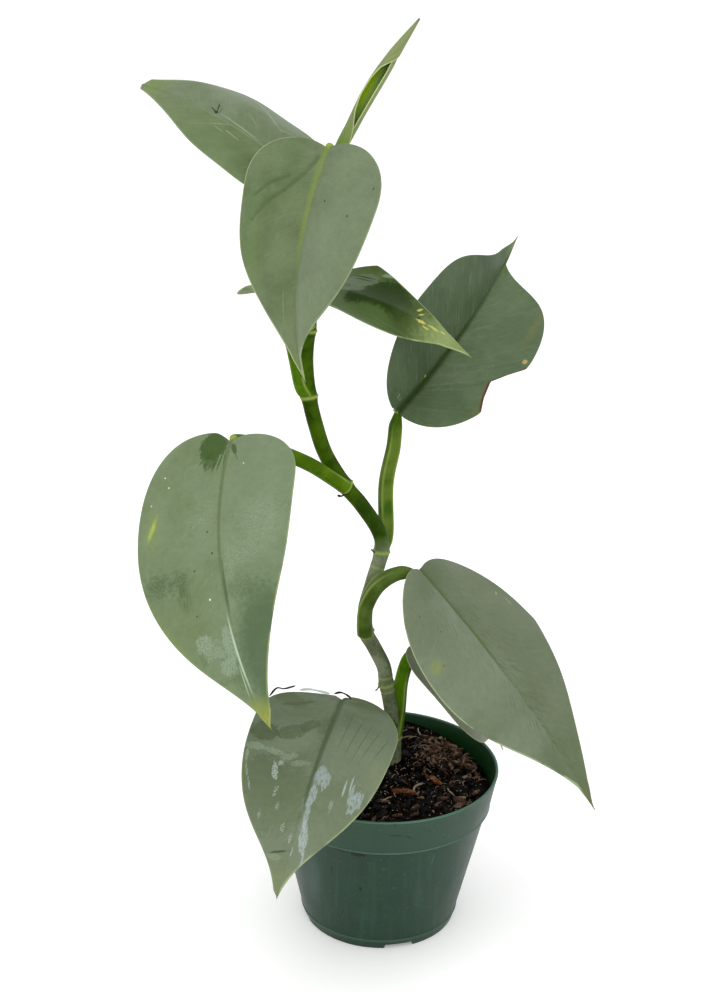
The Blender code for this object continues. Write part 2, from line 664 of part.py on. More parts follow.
def pot():
    """The pot: foot ring, ridge, tapered body, wider band, rounded rim, with slots and drain holes."""
    floor_top = FOOT_HEIGHT + FLOOR_THICKNESS
    step_inside = BAND_BOTTOM + POT_WALL
    ridge = wall_radius(FOOT_RIDGE_HEIGHT) + FOOT_RIDGE
    profile = [
        (0.0, FOOT_HEIGHT),
        (POT_FOOT_RADIUS - FOOT_RING_WIDTH - FOOT_DRAFT, FOOT_HEIGHT),
        (POT_FOOT_RADIUS - FOOT_RING_WIDTH, 0.0),
        (POT_FOOT_RADIUS, 0.0),
        (ridge, FOOT_RIDGE_HEIGHT - RIDGE_SLOPE),
        (ridge, FOOT_RIDGE_HEIGHT),
        (wall_radius(FOOT_RIDGE_HEIGHT + RIDGE_SLOPE), FOOT_RIDGE_HEIGHT + RIDGE_SLOPE),
        (BODY_TOP_RADIUS, BAND_BOTTOM),
        (BAND_BOTTOM_RADIUS + BAND_STEP, BAND_BOTTOM + BAND_STEP),
        (wall_radius(POT_HEIGHT - 2 * RIM_ROUNDING), POT_HEIGHT - 2 * RIM_ROUNDING),
        (POT_RIM_RADIUS, POT_HEIGHT - RIM_ROUNDING),
        (POT_RIM_RADIUS - RIM_CHAMFER, POT_HEIGHT),
        (POT_RIM_RADIUS - POT_WALL, POT_HEIGHT),
        (wall_radius(step_inside, outside=False), step_inside),
        (wall_radius(BAND_BOTTOM - CORNER, outside=False), BAND_BOTTOM - CORNER),
        (wall_radius(floor_top + CORNER, outside=False), floor_top + CORNER),
        (wall_radius(floor_top, outside=False) - CORNER, floor_top),
        (0.0, floor_top),
    ]
    made = lathe("pot", profile, POT_SEGMENTS, GREEN_PLASTIC)
    cutters = []
    for index in range(SLOTS):
        angle = math.radians(FIRST_SLOT + 360 * index / SLOTS)
        cutters.append(box_at(
            "slot", (POT_FOOT_RADIUS * math.cos(angle), POT_FOOT_RADIUS * math.sin(angle), 0.0),
            (SLOT_DEPTH, SLOT_WIDTH, 2 * SLOT_HEIGHT), angle,
        ))
        between = angle + math.pi / SLOTS
        hole = (DRAIN_HOLE_CIRCLE * math.cos(between), DRAIN_HOLE_CIRCLE * math.sin(between))
        ends = ((*hole, FOOT_HEIGHT - CUTTER_OVERRUN), (*hole, floor_top + CUTTER_OVERRUN))
        cutters.append(tube("hole", ends, (DRAIN_HOLE_RADIUS,) * 2, DRAIN_HOLE_SIDES, GREEN_PLASTIC))
    combine(made, cutters, "DIFFERENCE")


def box_at(name, centre, size, turn, tilt=0.0, taper=1.0):
    """A box turned about Z and tilted; taper narrows its far end, as on a broken chip of bark."""
    points = []
    for x_side in (-1, 1):
        for y_side in (-1, 1):
            for z_side in (-1, 1):
                narrowing = taper if x_side > 0 else 1.0
                x = x_side * size[0] / 2
                y = y_side * size[1] / 2 * narrowing
                z = z_side * size[2] / 2 * narrowing
                x, z = x * math.cos(tilt) - z * math.sin(tilt), x * math.sin(tilt) + z * math.cos(tilt)
                points.append((
                    centre[0] + x * math.cos(turn) - y * math.sin(turn),
                    centre[1] + x * math.sin(turn) + y * math.cos(turn),
                    centre[2] + z,
                ))
    faces = [(0, 1, 3, 2), (4, 6, 7, 5), (0, 4, 5, 1), (2, 3, 7, 6), (0, 2, 6, 4), (1, 5, 7, 3)]
    return add_object(name, points, faces, POTTING_SOIL)


def soil_height(x, y):
    """Height of the soil: its level at the wall, a low mound towards the back right, and rough grain."""
    angle = math.atan2(y, x)
    edge = SOIL_LEVEL + SOIL_SWELL * math.cos(2 * (angle - math.radians(SOIL_SWELL_TURN)))
    share = min(math.hypot(x, y) / wall_radius(SOIL_LEVEL, outside=False), 1.0)
    away = math.hypot(x - SOIL_MOUND_AT[0], y - SOIL_MOUND_AT[1]) / SOIL_MOUND_SPREAD
    mound = SOIL_MOUND * math.exp(-away ** 2 / 2)
    grain = SOIL_GRAIN * math.sin(0.9 * x + 1.3) * math.sin(0.8 * y - 0.4) * (1 - share ** 4)
    return SOIL_LEVEL * (1 - share) + edge * share + mound * (1 - share ** 4) + grain


def soil():
    """The root ball and loose soil, 0.3 mm clear of the pot, with bark chips half sunk in its top."""
    floor = FOOT_HEIGHT + FLOOR_THICKNESS + GAP
    lowest = wall_radius(floor + CORNER, outside=False) - GAP
    shoulder = BAND_BOTTOM + SOIL_SHOULDER
    profile = [
        (0.0, floor), (lowest - SOIL_CORNER, floor), (lowest, floor + SOIL_CORNER),
        (wall_radius(BAND_BOTTOM - CORNER, outside=False) - GAP, BAND_BOTTOM - CORNER),
        (wall_radius(shoulder, outside=False) - GAP, shoulder),
    ]
    points, rings = [(0.0, 0.0, floor)], [[0] * POT_SEGMENTS]
    angles = [2 * math.pi * step / POT_SEGMENTS for step in range(POT_SEGMENTS)]
    for radius, height in profile[1:]:
        rings.append(list(range(len(points), len(points) + POT_SEGMENTS)))
        points += [(radius * math.cos(a), radius * math.sin(a), height) for a in angles]
    for share in (1.0, *SOIL_RINGS):
        rings.append(list(range(len(points), len(points) + POT_SEGMENTS)))
        for angle in angles:
            reach = wall_radius(SOIL_LEVEL, outside=False)
            top = soil_height(reach * math.cos(angle), reach * math.sin(angle))
            radius = (wall_radius(top, outside=False) - GAP) * share
            x, y = radius * math.cos(angle), radius * math.sin(angle)
            points.append((x, y, top if share == 1.0 else soil_height(x, y)))
    rings.append([len(points)] * POT_SEGMENTS)
    points.append((0.0, 0.0, soil_height(0.0, 0.0)))
    faces = []
    for lower, upper in zip(rings, rings[1:]):
        for step in range(POT_SEGMENTS):
            after = (step + 1) % POT_SEGMENTS
            corners = [lower[step], lower[after], upper[after], upper[step]]
            for picked in ((0, 1, 2), (0, 2, 3)):
                triangle = tuple(corners[k] for k in picked)
                if len(set(triangle)) == 3:
                    faces.append(triangle)
    made = add_object("soil", points, faces, POTTING_SOIL)
    combine(made, bark_chips(), "UNION")
    combine(made, [stem_tube("stem_space", GAP)], "DIFFERENCE")


def bark_chips():
    """Flat tapered chips, scattered evenly, each sunk by half, clear of the wall and the stem."""
    draw = random.Random(SOIL_SEED)
    chips = []
    stem_x, stem_y, _ = STEM_ROUTE[1][0]
    while len(chips) < CHIP_COUNT:
        radius = CHIP_REACH * math.sqrt(draw.random())
        angle = draw.uniform(-math.pi, math.pi)
        x, y = radius * math.cos(angle), radius * math.sin(angle)
        size = (draw.uniform(*CHIP_LENGTH), draw.uniform(*CHIP_WIDTH), draw.uniform(*CHIP_THICKNESS))
        turn, tilt = draw.uniform(0, math.pi), draw.uniform(-CHIP_TILT, CHIP_TILT)
        taper = draw.uniform(*CHIP_TAPER)
        if math.hypot(x - stem_x, y - stem_y) < CHIP_CLEARANCE:
            continue
        chips.append(box_at("chip", (x, y, soil_height(x, y) + CHIP_RAISE), size, turn, tilt, taper))
    return chips


def centre_on_base():
    """Moves every piece alike, so that the origin is the middle of the base of their common box."""
    meshes = [piece.data for piece in bpy.data.objects]
    corners = np.array([vertex.co for mesh in meshes for vertex in mesh.vertices])
    middle = (corners.min(axis=0) + corners.max(axis=0)) / 2
    shift = Matrix.Translation((-middle[0], -middle[1], 0.0))
    for mesh in meshes:
        mesh.transform(shift)
    print("pot axis at", (-middle[:2]).round(6))


pot()
soil()
stem_tube("stem")
for one_leaf in LEAVES:
    leaf_with_stalk(one_leaf)
new_leaf()
centre_on_base()
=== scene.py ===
import json
import math
from dataclasses import dataclass, field

import bmesh
import bpy
import numpy as np
from mathutils import Euler, Matrix, Vector

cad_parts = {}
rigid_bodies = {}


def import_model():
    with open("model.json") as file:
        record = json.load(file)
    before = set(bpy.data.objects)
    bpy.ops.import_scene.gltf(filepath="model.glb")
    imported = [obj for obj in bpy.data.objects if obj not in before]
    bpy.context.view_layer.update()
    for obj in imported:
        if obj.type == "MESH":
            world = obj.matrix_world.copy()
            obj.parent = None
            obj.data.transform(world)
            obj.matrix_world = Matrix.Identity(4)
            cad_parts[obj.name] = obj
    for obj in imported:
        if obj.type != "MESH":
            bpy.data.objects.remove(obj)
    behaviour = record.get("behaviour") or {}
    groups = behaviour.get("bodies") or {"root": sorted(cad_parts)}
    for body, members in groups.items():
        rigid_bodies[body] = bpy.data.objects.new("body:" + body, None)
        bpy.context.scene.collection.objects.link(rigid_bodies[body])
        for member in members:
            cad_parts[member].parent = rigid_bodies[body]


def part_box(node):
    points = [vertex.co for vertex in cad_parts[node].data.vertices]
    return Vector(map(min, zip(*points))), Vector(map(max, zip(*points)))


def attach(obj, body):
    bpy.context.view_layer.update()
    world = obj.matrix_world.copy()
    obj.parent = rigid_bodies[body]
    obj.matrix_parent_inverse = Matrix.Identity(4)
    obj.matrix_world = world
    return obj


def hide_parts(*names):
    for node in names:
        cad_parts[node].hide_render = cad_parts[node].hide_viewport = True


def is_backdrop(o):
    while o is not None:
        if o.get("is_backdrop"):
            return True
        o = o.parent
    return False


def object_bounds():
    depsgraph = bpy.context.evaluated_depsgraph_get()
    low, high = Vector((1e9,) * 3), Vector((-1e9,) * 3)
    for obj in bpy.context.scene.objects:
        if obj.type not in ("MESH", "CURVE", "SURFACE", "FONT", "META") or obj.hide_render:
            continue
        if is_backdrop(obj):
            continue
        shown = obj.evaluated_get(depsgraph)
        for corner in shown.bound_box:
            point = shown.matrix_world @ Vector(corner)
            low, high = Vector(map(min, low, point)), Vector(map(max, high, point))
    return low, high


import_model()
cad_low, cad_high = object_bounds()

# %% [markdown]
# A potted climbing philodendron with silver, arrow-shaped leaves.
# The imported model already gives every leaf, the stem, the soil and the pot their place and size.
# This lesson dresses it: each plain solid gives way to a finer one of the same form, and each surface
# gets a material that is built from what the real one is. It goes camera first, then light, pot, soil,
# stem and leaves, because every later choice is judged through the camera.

MM = 0.001
pot_low, pot_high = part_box("pot")
pot_axis = np.array(((pot_low.x + pot_high.x) / 2, (pot_low.y + pot_high.y) / 2, 0.0))
print("pot axis", pot_axis.round(5), "m; sizes below are in millimetres from it")

# %% [markdown]
# The camera. The rim of a round pot shows as an ellipse, and its flatness gives the camera's tilt; the
# foot's ellipse, seen a little rounder, gives the distance. Together they ask for a camera 0.66 m in
# front of the pot, 0.44 m up, tilted down by 19.5 degrees and rolled by 1.4, with a field of view that
# is 1000 pixels tall for a focal length of 1600 pixels.

# %% Camera
IMAGE_HEIGHT = 1000
FOCAL_PIXELS = 1600
SENSOR = 36.0
CAMERA_PLACE = (-12.0, -664.0, 442.0)
CAMERA_TILT = 19.5
CAMERA_ROLL = 1.4

lens = bpy.data.cameras.new("camera")
lens.sensor_fit = "VERTICAL"
lens.sensor_height = SENSOR
lens.lens = SENSOR * FOCAL_PIXELS / IMAGE_HEIGHT
lens.clip_start = 0.01
camera = bpy.data.objects.new("camera", lens)
tilt = Euler((math.radians(90 - CAMERA_TILT), 0, 0)).to_matrix()
turn = tilt @ Matrix.Rotation(math.radians(CAMERA_ROLL), 3, "Z")
camera.matrix_world = Matrix.Translation(Vector(pot_axis) + Vector(CAMERA_PLACE) * MM) @ turn.to_4x4()
bpy.context.scene.collection.objects.link(camera)
bpy.context.scene.camera = camera
print("lens", round(lens.lens, 1), "mm")

# %% [markdown]
# Floor and light. The plant was photographed like goods for a catalogue: white all round, a broad soft
# light above and in front, no hard shadow. A nearly white floor under a white world does the same, bright
# enough that the floor comes out as paper white, so the plain Standard view is used, which leaves white
# white. One large panel overhead and one in front give the leaves a brighter side. The floor glows a
# little, like a light table's acrylic sheet, and so the shadow round the pot stays as faint as it was.

# %% Floor and lights
FLOOR_SIZE = 8.0
WORLD_STRENGTH = 1.05
AIM = (0.0, 0.0, 0.2)
PANELS = (  # name, place and size in metres, power in watts
    ("panel_above", (-0.25, -0.35, 1.25), (0.9, 0.7), 3.2),
    ("panel_front", (0.3, -1.5, 0.8), (1.2, 1.0), 4.0),
)

bpy.context.scene.view_settings.view_transform = "Standard"
world = bpy.data.worlds.new("studio")
bpy.context.scene.world = world
world.use_nodes = True
world.node_tree.nodes["Background"].inputs["Color"].default_value = (1.0, 1.0, 1.0, 1.0)
world.node_tree.nodes["Background"].inputs["Strength"].default_value = WORLD_STRENGTH

for name, place, size, power in PANELS:
    lamp = bpy.data.lights.new(name, "AREA")
    lamp.shape = "RECTANGLE"
    lamp.size, lamp.size_y = size
    lamp.energy = power
    panel = bpy.data.objects.new(name, lamp)
    panel.location = place
    panel.rotation_euler = (Vector(AIM) - Vector(place)).to_track_quat("-Z", "Y").to_euler()
    bpy.context.scene.collection.objects.link(panel)
print("lights:", ", ".join(name for name, *_ in PANELS))

# %% [markdown]
# Materials are node trees. Most of the work is adding a node, setting it and wiring it, so one small
# function does that and everything else is written with it. It gives back an output, ready to be the next
# node's input. Colours are the sRGB hex values that a colour chart or an image editor shows, and Blender
# wants linear light, so one function turns them.

# %% Helpers for materials
BELOW, ABOVE = 6, 7  # a Mix node's two colours
COLOURS = {"output": 2, "data_type": "RGBA"}  # a Mix node that mixes colours
LOW, HIGH, MOST = 1, 2, 4  # a Map Range node's start and end, and the value it reaches at the end
SMOOTH = {"interpolation_type": "SMOOTHSTEP"}


def linear(code):
    """An sRGB hex colour as linear red, green, blue and alpha."""
    channels = [int(code[start:start + 2], 16) / 255 for start in (1, 3, 5)]
    return [c / 12.92 if c <= 0.04045 else ((c + 0.055) / 1.055) ** 2.4 for c in channels] + [1.0]


def add(tree, kind, inputs=None, output=0, **settings):
    """Adds a node, applies its settings, links or sets its inputs, and gives one of its outputs."""
    node = tree.nodes.new("ShaderNode" + kind)
    for name, value in settings.items():
        setattr(node, name, value)
    for key, value in (inputs or {}).items():
        if isinstance(value, bpy.types.NodeSocket):
            tree.links.new(value, node.inputs[key])
        else:
            node.inputs[key].default_value = linear(value) if isinstance(value, str) else value
    return node.outputs[output]


def new_material(name, **sockets):
    """A material with its shader's plain sockets set: the material, its tree and the shader."""
    made = bpy.data.materials.new(name)
    made.use_nodes = True
    shader = made.node_tree.nodes["Principled BSDF"]
    for label, value in sockets.items():
        shader.inputs[label.replace("_", " ")].default_value = value
    return made, made.node_tree, shader


def finish(tree, shader, **sockets):
    """Links what the nodes made to the shader's sockets."""
    for label, value in sockets.items():
        tree.links.new(value, shader.inputs[label.replace("_", " ")])
    print(tree.nodes[0].id_data.name, "has", len(tree.nodes), "nodes")


print("linear grey of #808080", [round(c, 3) for c in linear("#808080")[:3]])

# %% Floor
FLOOR_GLOW = 0.15
half_floor = FLOOR_SIZE / 2
corners = [(x * half_floor, y * half_floor, 0) for x, y in ((-1, -1), (1, -1), (1, 1), (-1, 1))]
floor_mesh = bpy.data.meshes.new("floor")
floor_mesh.from_pydata(corners, [], [(0, 1, 2, 3)])
floor = bpy.data.objects.new("floor", floor_mesh)
bpy.context.scene.collection.objects.link(floor)
floor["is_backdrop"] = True
acrylic = new_material("lit_white_acrylic", Base_Color=linear("#FDFDFD"), Roughness=0.9,
                       Emission_Color=linear("#FFFFFF"), Emission_Strength=FLOOR_GLOW)[0]
floor_mesh.materials.append(acrylic)

# %% [markdown]
# Marks. Water stains, flecks, scuffs and crumbs are what happened to one surface at one place, and on the
# wet leaves some marks are painted reflections. Each is an oval on a flat plan in millimetres: where it
# is, half its width and length, its colour and opacity, how wet it looks, and how ragged its edge is. The
# raggedness is a noise added to the distance from the middle, so the edge wanders as a stain's does.
# Streaks is the same noise drawn out lengthwise, and holes is the share of the mark that is missing. Marks
# with the same kind of edge are listed together.

# %% Marks
EDGE_SWING, EDGE_MIDDLE = 3.0, 1.5  # how far the noise moves a ragged edge, and what evens that out
HOLE_START, HOLE_RISE, HOLE_EDGE = 0.35, 0.3, 0.06  # where the finer noise leaves holes, and how sharply


@dataclass
class Mark:
    """One mark on a plan: across and along in mm, half sizes, colour, and the character of its edge."""

    at: tuple
    size: tuple
    colour: str
    strength: float = 0.8
    turn: float = 0.0  # degrees that its length leans towards the right
    soft: float = 0.3
    ragged: float = 0.25
    wet: float = 0.0
    streaks: bool = False
    holes: float = 0.0


def alike(*rows, **edge):
    """Marks with the same kind of edge; a row has colour, across, along, half sizes, strength and turn."""
    return [Mark((x, y), (wide, long), colour, *rest, **edge) for colour, x, y, wide, long, *rest in rows]


def edge_noises(tree, plan):
    """Noises for the marks: even and streaked ones for their edges, then finer ones for their holes."""
    drawn_out = add(tree, "Mapping", {"Vector": plan, "Scale": (1.0, 0.14, 1.0)})
    return [
        add(tree, "TexNoise", {"Vector": places, "Scale": scale, "Detail": 7.0, "Roughness": 0.7})
        for places, scale in ((plan, 0.45), (drawn_out, 0.8), (plan, 1.3), (drawn_out, 2.2))
    ]


def mark_cover(tree, plan, noises, mark):
    """How much of a mark covers a point, up to its strength."""
    noise, fine_noise = noises[mark.streaks], noises[2 + mark.streaks]
    lean = math.radians(mark.turn)
    shift = add(tree, "VectorMath", {0: plan, 1: (*mark.at, 0.0)}, operation="SUBTRACT")
    spin = add(tree, "VectorRotate", {"Vector": shift, "Angle": lean}, rotation_type="Z_AXIS")
    scaled = add(tree, "VectorMath", {0: spin, 1: (*mark.size, 1.0)}, operation="DIVIDE")
    away = add(tree, "VectorMath", {0: scaled}, "Value", operation="LENGTH")
    away = add(tree, "Math", {0: noise, 1: EDGE_SWING * mark.ragged, 2: away}, operation="MULTIPLY_ADD")
    edge = 1.0 + EDGE_MIDDLE * mark.ragged
    outer, inner = edge + mark.soft / 2, edge - mark.soft
    cover = add(tree, "MapRange", {0: away, LOW: outer, HIGH: inner, MOST: mark.strength}, **SMOOTH)
    if mark.holes:
        start = HOLE_START + HOLE_RISE * mark.holes
        kept = add(tree, "MapRange", {0: fine_noise, LOW: start, HIGH: start + HOLE_EDGE})
        cover = add(tree, "Math", {0: cover, 1: kept}, operation="MULTIPLY")
    return cover


def lay_marks(tree, plan, marks, face):
    """Lays the marks over a colour one by one, and gives the colour and how wet each point is."""
    noises = edge_noises(tree, plan)
    wetness = add(tree, "Value")
    for mark in marks:
        cover = mark_cover(tree, plan, noises, mark)
        face = add(tree, "Mix", {0: cover, BELOW: face, ABOVE: mark.colour}, **COLOURS)
        if mark.wet:
            damp = add(tree, "Math", {0: cover, 1: mark.wet}, operation="MULTIPLY")
            wetness = add(tree, "Math", {0: wetness, 1: damp}, operation="MAXIMUM")
    return face, wetness


print("a mark is laid with 7 to 11 nodes")

# %% [markdown]
# Meshes. Nearly every piece here is a grid of points that has been bent: a pot is a profile turned about
# an axis, a stem is a ring pushed along a curve, a leaf is a flat outline folded and arched. So the
# helpers below make faces between rows of points, close ends, and hang numbers on the points, such as the
# distance to a leaf's edge, for the materials to read by name.

# %% Helpers for meshes
MERGE_DISTANCE = 1e-7  # metres
CURVE_STEPS = 16  # points on a smooth curve from one point of its route to the next


def grid_faces(rows, columns, ring=False):
    """Faces between neighbouring rows of points; a ring joins its last column to its first."""
    across = np.arange(columns if ring else columns - 1)
    starts = (np.arange(rows - 1) * columns)[:, None]
    here, beside = starts + across, starts + (across + 1) % columns
    return np.stack((here, beside, beside + columns, here + columns), axis=-1).reshape(-1, 4)


def all_round(count):
    """Evenly spaced angles, once round."""
    return np.linspace(0, 2 * math.pi, count, endpoint=False)


def tube_faces(rows, sides):
    """Faces round a tube, and a cap at each end."""
    last = (rows - 1) * sides
    return [*grid_faces(rows, sides, ring=True), list(range(sides))[::-1], list(range(last, last + sides))]


def sheet_faces(rows, columns):
    """Faces of a sheet's upper points, then of its lower points, and those that join them at both sides."""
    upper, count = grid_faces(rows, columns), rows * columns
    starts = [here for column in (0, columns - 1) for here in range(column, count - columns, columns)]
    sides = [(here, here + columns, here + columns + count, here + count) for here in starts]
    return [*upper, *(upper[:, ::-1] + count), *sides]


def make_piece(name, points, faces, surface, values=None, smooth_angle=60.0):
    """One mesh object from points in millimetres about the pot's axis; values are numbers on its points."""
    mesh = bpy.data.meshes.new(name)
    places = np.asarray(points) * MM + pot_axis
    mesh.from_pydata(places.tolist(), [], [list(map(int, face)) for face in faces])
    for label, numbers in (values or {}).items():
        layer = mesh.attributes.new(label, "FLOAT", "POINT")
        layer.data.foreach_set("value", np.asarray(numbers, np.float32))
    shell = bmesh.new()
    shell.from_mesh(mesh)
    bmesh.ops.remove_doubles(shell, verts=shell.verts, dist=MERGE_DISTANCE)
    bmesh.ops.dissolve_degenerate(shell, edges=shell.edges, dist=MERGE_DISTANCE)
    bmesh.ops.recalc_face_normals(shell, faces=shell.faces)
    shell.to_mesh(mesh)
    shell.free()
    mesh.materials.append(surface)
    mesh.shade_smooth()
    mesh.set_sharp_from_angle(angle=math.radians(smooth_angle))
    made = bpy.data.objects.new(name, mesh)
    bpy.context.scene.collection.objects.link(made)
    return made


def settle(piece, node):
    """The piece rides on the plant and stands for a CAD node, whose plain solid it hides."""
    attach(piece, "root")
    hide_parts(node)
    print(piece.name, len(piece.data.polygons), "faces, for", node)


def unit(vectors):
    """The vectors at a length of 1."""
    return vectors / np.linalg.norm(vectors, axis=-1, keepdims=True)


def read_between(where, stops, rows):
    """Rows of numbers that stand at the stops, read at any places between them."""
    return np.stack([np.interp(where, stops, column) for column in rows.T], axis=-1)


def smooth_route(route):
    """Points on a smooth curve through the route."""
    knots = np.array(route, float)
    knots = np.vstack((2 * knots[0] - knots[1], knots, 2 * knots[-1] - knots[-2]))
    t = (np.arange(CURVE_STEPS) / CURVE_STEPS)[:, None]
    curve = []
    for before, here, after, beyond in zip(knots, knots[1:], knots[2:], knots[3:]):
        curve.append(0.5 * (
            2 * here + (after - before) * t
            + (2 * before - 5 * here + 4 * after - beyond) * t ** 2
            + (3 * here - before - 3 * after + beyond) * t ** 3
        ))
    return np.vstack(curve + [knots[-2]])


def distances(line):
    """How far each point of a line lies from its start, along the line."""
    return np.concatenate(([0.0], np.cumsum(np.linalg.norm(np.diff(line, axis=0), axis=1))))


def even_route(route, spacing):
    """The smooth route with evenly spaced points, and how far each lies from the start."""
    curve = smooth_route(route)
    travelled = distances(curve)
    evenly = np.linspace(0, travelled[-1], round(travelled[-1] / spacing))
    return read_between(evenly, travelled, curve), evenly


# %% [markdown]
# The pot is a thin injection-moulded nursery pot. A lathe is the natural way to make it: one profile of
# the wall, turned about the axis. The profile has what a mould maker gives such a pot: a slightly tapered
# wall so that it leaves the mould, a wider band that stiffens the top, a rounded lip, and a low ridge just
# above the foot. The slots in the foot let water out, and are cut afterwards with boxes.

# %% Pot shape
POT_RIM_RADIUS = 54.0
POT_HEIGHT = 77.0
POT_FOOT_RADIUS = 36.0
POT_WALL = 1.3
BAND_BOTTOM = 59.0
BAND_BOTTOM_RADIUS = 50.6
BODY_TOP_RADIUS = 49.6
FOOT_HEIGHT = 2.6
FLOOR_TOP = FOOT_HEIGHT + 1.4
RIDGE_HEIGHT = 4.8
POT_SIDES = 192
SLOT_SIZE = (8.0, 15.0, 4.8)
SLOT_TOP_SHARE = 0.86  # a slot's width at the top, as a share of that at the bottom
FIRST_SLOT = -75.0
DRAIN_CIRCLE, DRAIN_RADIUS = 22.0, 4.0
DRAIN_HEIGHTS, DRAIN_SIDES = (0.5, 7.0), 32


def wall_radius(height, outside=True):
    """Radius of the pot's wall at a height."""
    heights = (0.0, BAND_BOTTOM - 1e-6, BAND_BOTTOM, POT_HEIGHT)
    radii = (POT_FOOT_RADIUS, BODY_TOP_RADIUS, BAND_BOTTOM_RADIUS, POT_RIM_RADIUS)
    radius = float(np.interp(height, heights, radii))
    return radius if outside else radius - POT_WALL


def rounded(centre, radius, start, end, steps=6):
    """Points on an arc in the profile, by angles in degrees from the outward direction."""
    angles = np.radians(np.linspace(start, end, steps))
    return [(centre[0] + radius * math.cos(a), centre[1] + radius * math.sin(a)) for a in angles]


lip = POT_WALL / 2
outside_wall = (
    [(0.0, FOOT_HEIGHT), (POT_FOOT_RADIUS - 3.0, FOOT_HEIGHT)]
    + rounded((POT_FOOT_RADIUS - 2.0, 0.6), 0.6, 180, 270, 4)
    + rounded((POT_FOOT_RADIUS - 0.5, 0.6), 0.6, -90, -10, 5)
    + [(wall_radius(RIDGE_HEIGHT - 1.0) + 0.1, RIDGE_HEIGHT - 1.0)]
    + rounded((wall_radius(RIDGE_HEIGHT) - 0.15, RIDGE_HEIGHT - 0.1), 0.5, -50, 60, 6)
    + [(wall_radius(h), h) for h in np.linspace(RIDGE_HEIGHT + 1.0, BAND_BOTTOM - 0.4, 12)]
    + rounded((BAND_BOTTOM_RADIUS, BAND_BOTTOM + 0.35), 0.35, -90, -10, 4)
    + [(wall_radius(h), h) for h in np.linspace(BAND_BOTTOM + 0.5, POT_HEIGHT - 1.6, 6)]
    + rounded((POT_RIM_RADIUS - lip, POT_HEIGHT - lip), lip, 0, 180, 10)
)
inside_wall = (
    [(wall_radius(h, False), h) for h in np.linspace(POT_HEIGHT - 1.6, BAND_BOTTOM + POT_WALL, 6)]
    + [(wall_radius(h, False), h) for h in np.linspace(BAND_BOTTOM - 1.0, FLOOR_TOP + 1.5, 10)]
    + [(wall_radius(FLOOR_TOP, False) - 1.5, FLOOR_TOP), (0.0, FLOOR_TOP)]
)
profile = np.array(outside_wall + inside_wall)
print("pot profile has", len(profile), "points; rim", 2 * POT_RIM_RADIUS, "mm across")

# %% [markdown]
# The plastic is dark green polypropylene, injection moulded against a finely blasted steel mould. That
# gives the eye a satin skin: a soft broad sheen, a very faint orange-peel, and no grain. Handling and
# watering add what makes it look real: a dusty bloom of dried water, a few dark scuffs, and crumbs of
# soil under the band. Edges of the mould catch more light, so the lip, the ridge and the band's lower edge
# get painted highlights, a little paler, and a thin dark line of painted shade lies just under the band.
# IOR 1.49 is typical of polypropylene.

# %% Pot material
POT_MARKS = [  # across is the way round the wall from the front, along is height
    Mark((-13.0, 57.2), (1.0, 1.0), "#070504", 0.95, soft=0.1, ragged=0.5),
    Mark((-10.6, 56.9), (2.2, 1.1), "#070504", 0.95, soft=0.1, ragged=0.6),
    Mark((-8.2, 57.1), (1.1, 0.9), "#070504", 0.95, soft=0.1, ragged=0.5),
    Mark((-20.4, 57.9), (1.7, 0.7), "#070504", 0.95, soft=0.1, ragged=0.5),
    *alike(
        ("#0B0906", -10.2, 56.2, 0.7, 0.5, 0.9), ("#0B0906", 5.0, 76.0, 0.5, 0.4, 0.9),
        ("#050B07", -9.2, 36.6, 0.6, 1.2, 0.95), ragged=0.4,
    ),
    *alike(
        ("#070504", -17.9, 57.6, 1.2, 0.6, 0.95), ("#0B0906", -15.6, 57.9, 0.6, 0.4, 0.9),
        ("#0B0906", -12.0, 54.6, 0.5, 0.4), ("#050B07", -23.2, 44.6, 0.4, 2.6, 0.95), ragged=0.5,
    ),
    *alike(
        ("#08160E", 6.0, 69.8, 3.2, 0.35, 0.9, 4), ("#08160E", 11.6, 68.6, 1.8, 0.35, 0.85, 24),
        ("#0B1C13", -22.8, 41.0, 0.25, 0.9), ("#33513F", 24.0, 52.0, 0.5, 3.4, 0.5, 12),
        ("#3C5A48", 6.0, 38.0, 1.0, 0.3, 0.5),
    ),
    *alike(
        ("#2A4A3B", 18.0, 30.0, 3.0, 9.0, 0.3), ("#3A5145", -34.0, 34.0, 5.0, 16.0, 0.5),
        ("#264535", -6.0, 20.0, 7.0, 5.0, 0.3), soft=0.9,
    ),
]
PAINTED_SHADE_AND_HIGHLIGHT_LINES = (  # height of a line round the wall, half its width, how far it shows, and its colour
    # the first line is painted shade just under the band; the band's lower edge and the ridge get painted
    # highlights
    (BAND_BOTTOM - 0.9, 0.5, 0.6, "#0B2417"),
    (BAND_BOTTOM + 0.3, 0.45, 0.7, "#4F705D"),
    (RIDGE_HEIGHT, 0.5, 0.4, "#46654F"),
)
green_pp, tree, shader = new_material("moulded_polypropylene_green", IOR=1.49, Specular_IOR_Level=0.28)
inside, arc, height = (
    add(tree, "Attribute", output="Fac", attribute_name=label) for label in ("inside", "arc_mm", "height_mm")
)
place = add(tree, "TexCoord", output="Object")
wall_plan = add(tree, "CombineXYZ", {"X": arc, "Y": height})
bloom = add(tree, "TexNoise", {"Vector": place, "Scale": 45.0, "Detail": 5.0, "Roughness": 0.6})
run_down = add(tree, "Mapping", {"Vector": wall_plan, "Scale": (0.3, 0.016, 1.0)})
drips = add(tree, "TexNoise", {"Vector": run_down, "Scale": 1.0, "Detail": 4.0})
speckle = add(tree, "TexNoise", {"Vector": place, "Scale": 900.0, "Detail": 2.0})
blooming = add(tree, "MapRange", {0: bloom, LOW: 0.35, HIGH: 0.7}, **SMOOTH)
body = add(tree, "Mix", {0: blooming, BELOW: "#0F2E1F", ABOVE: "#143523"}, **COLOURS)
dried = add(tree, "MapRange", {0: drips, LOW: 0.5, HIGH: 0.75, MOST: 0.5}, **SMOOTH)
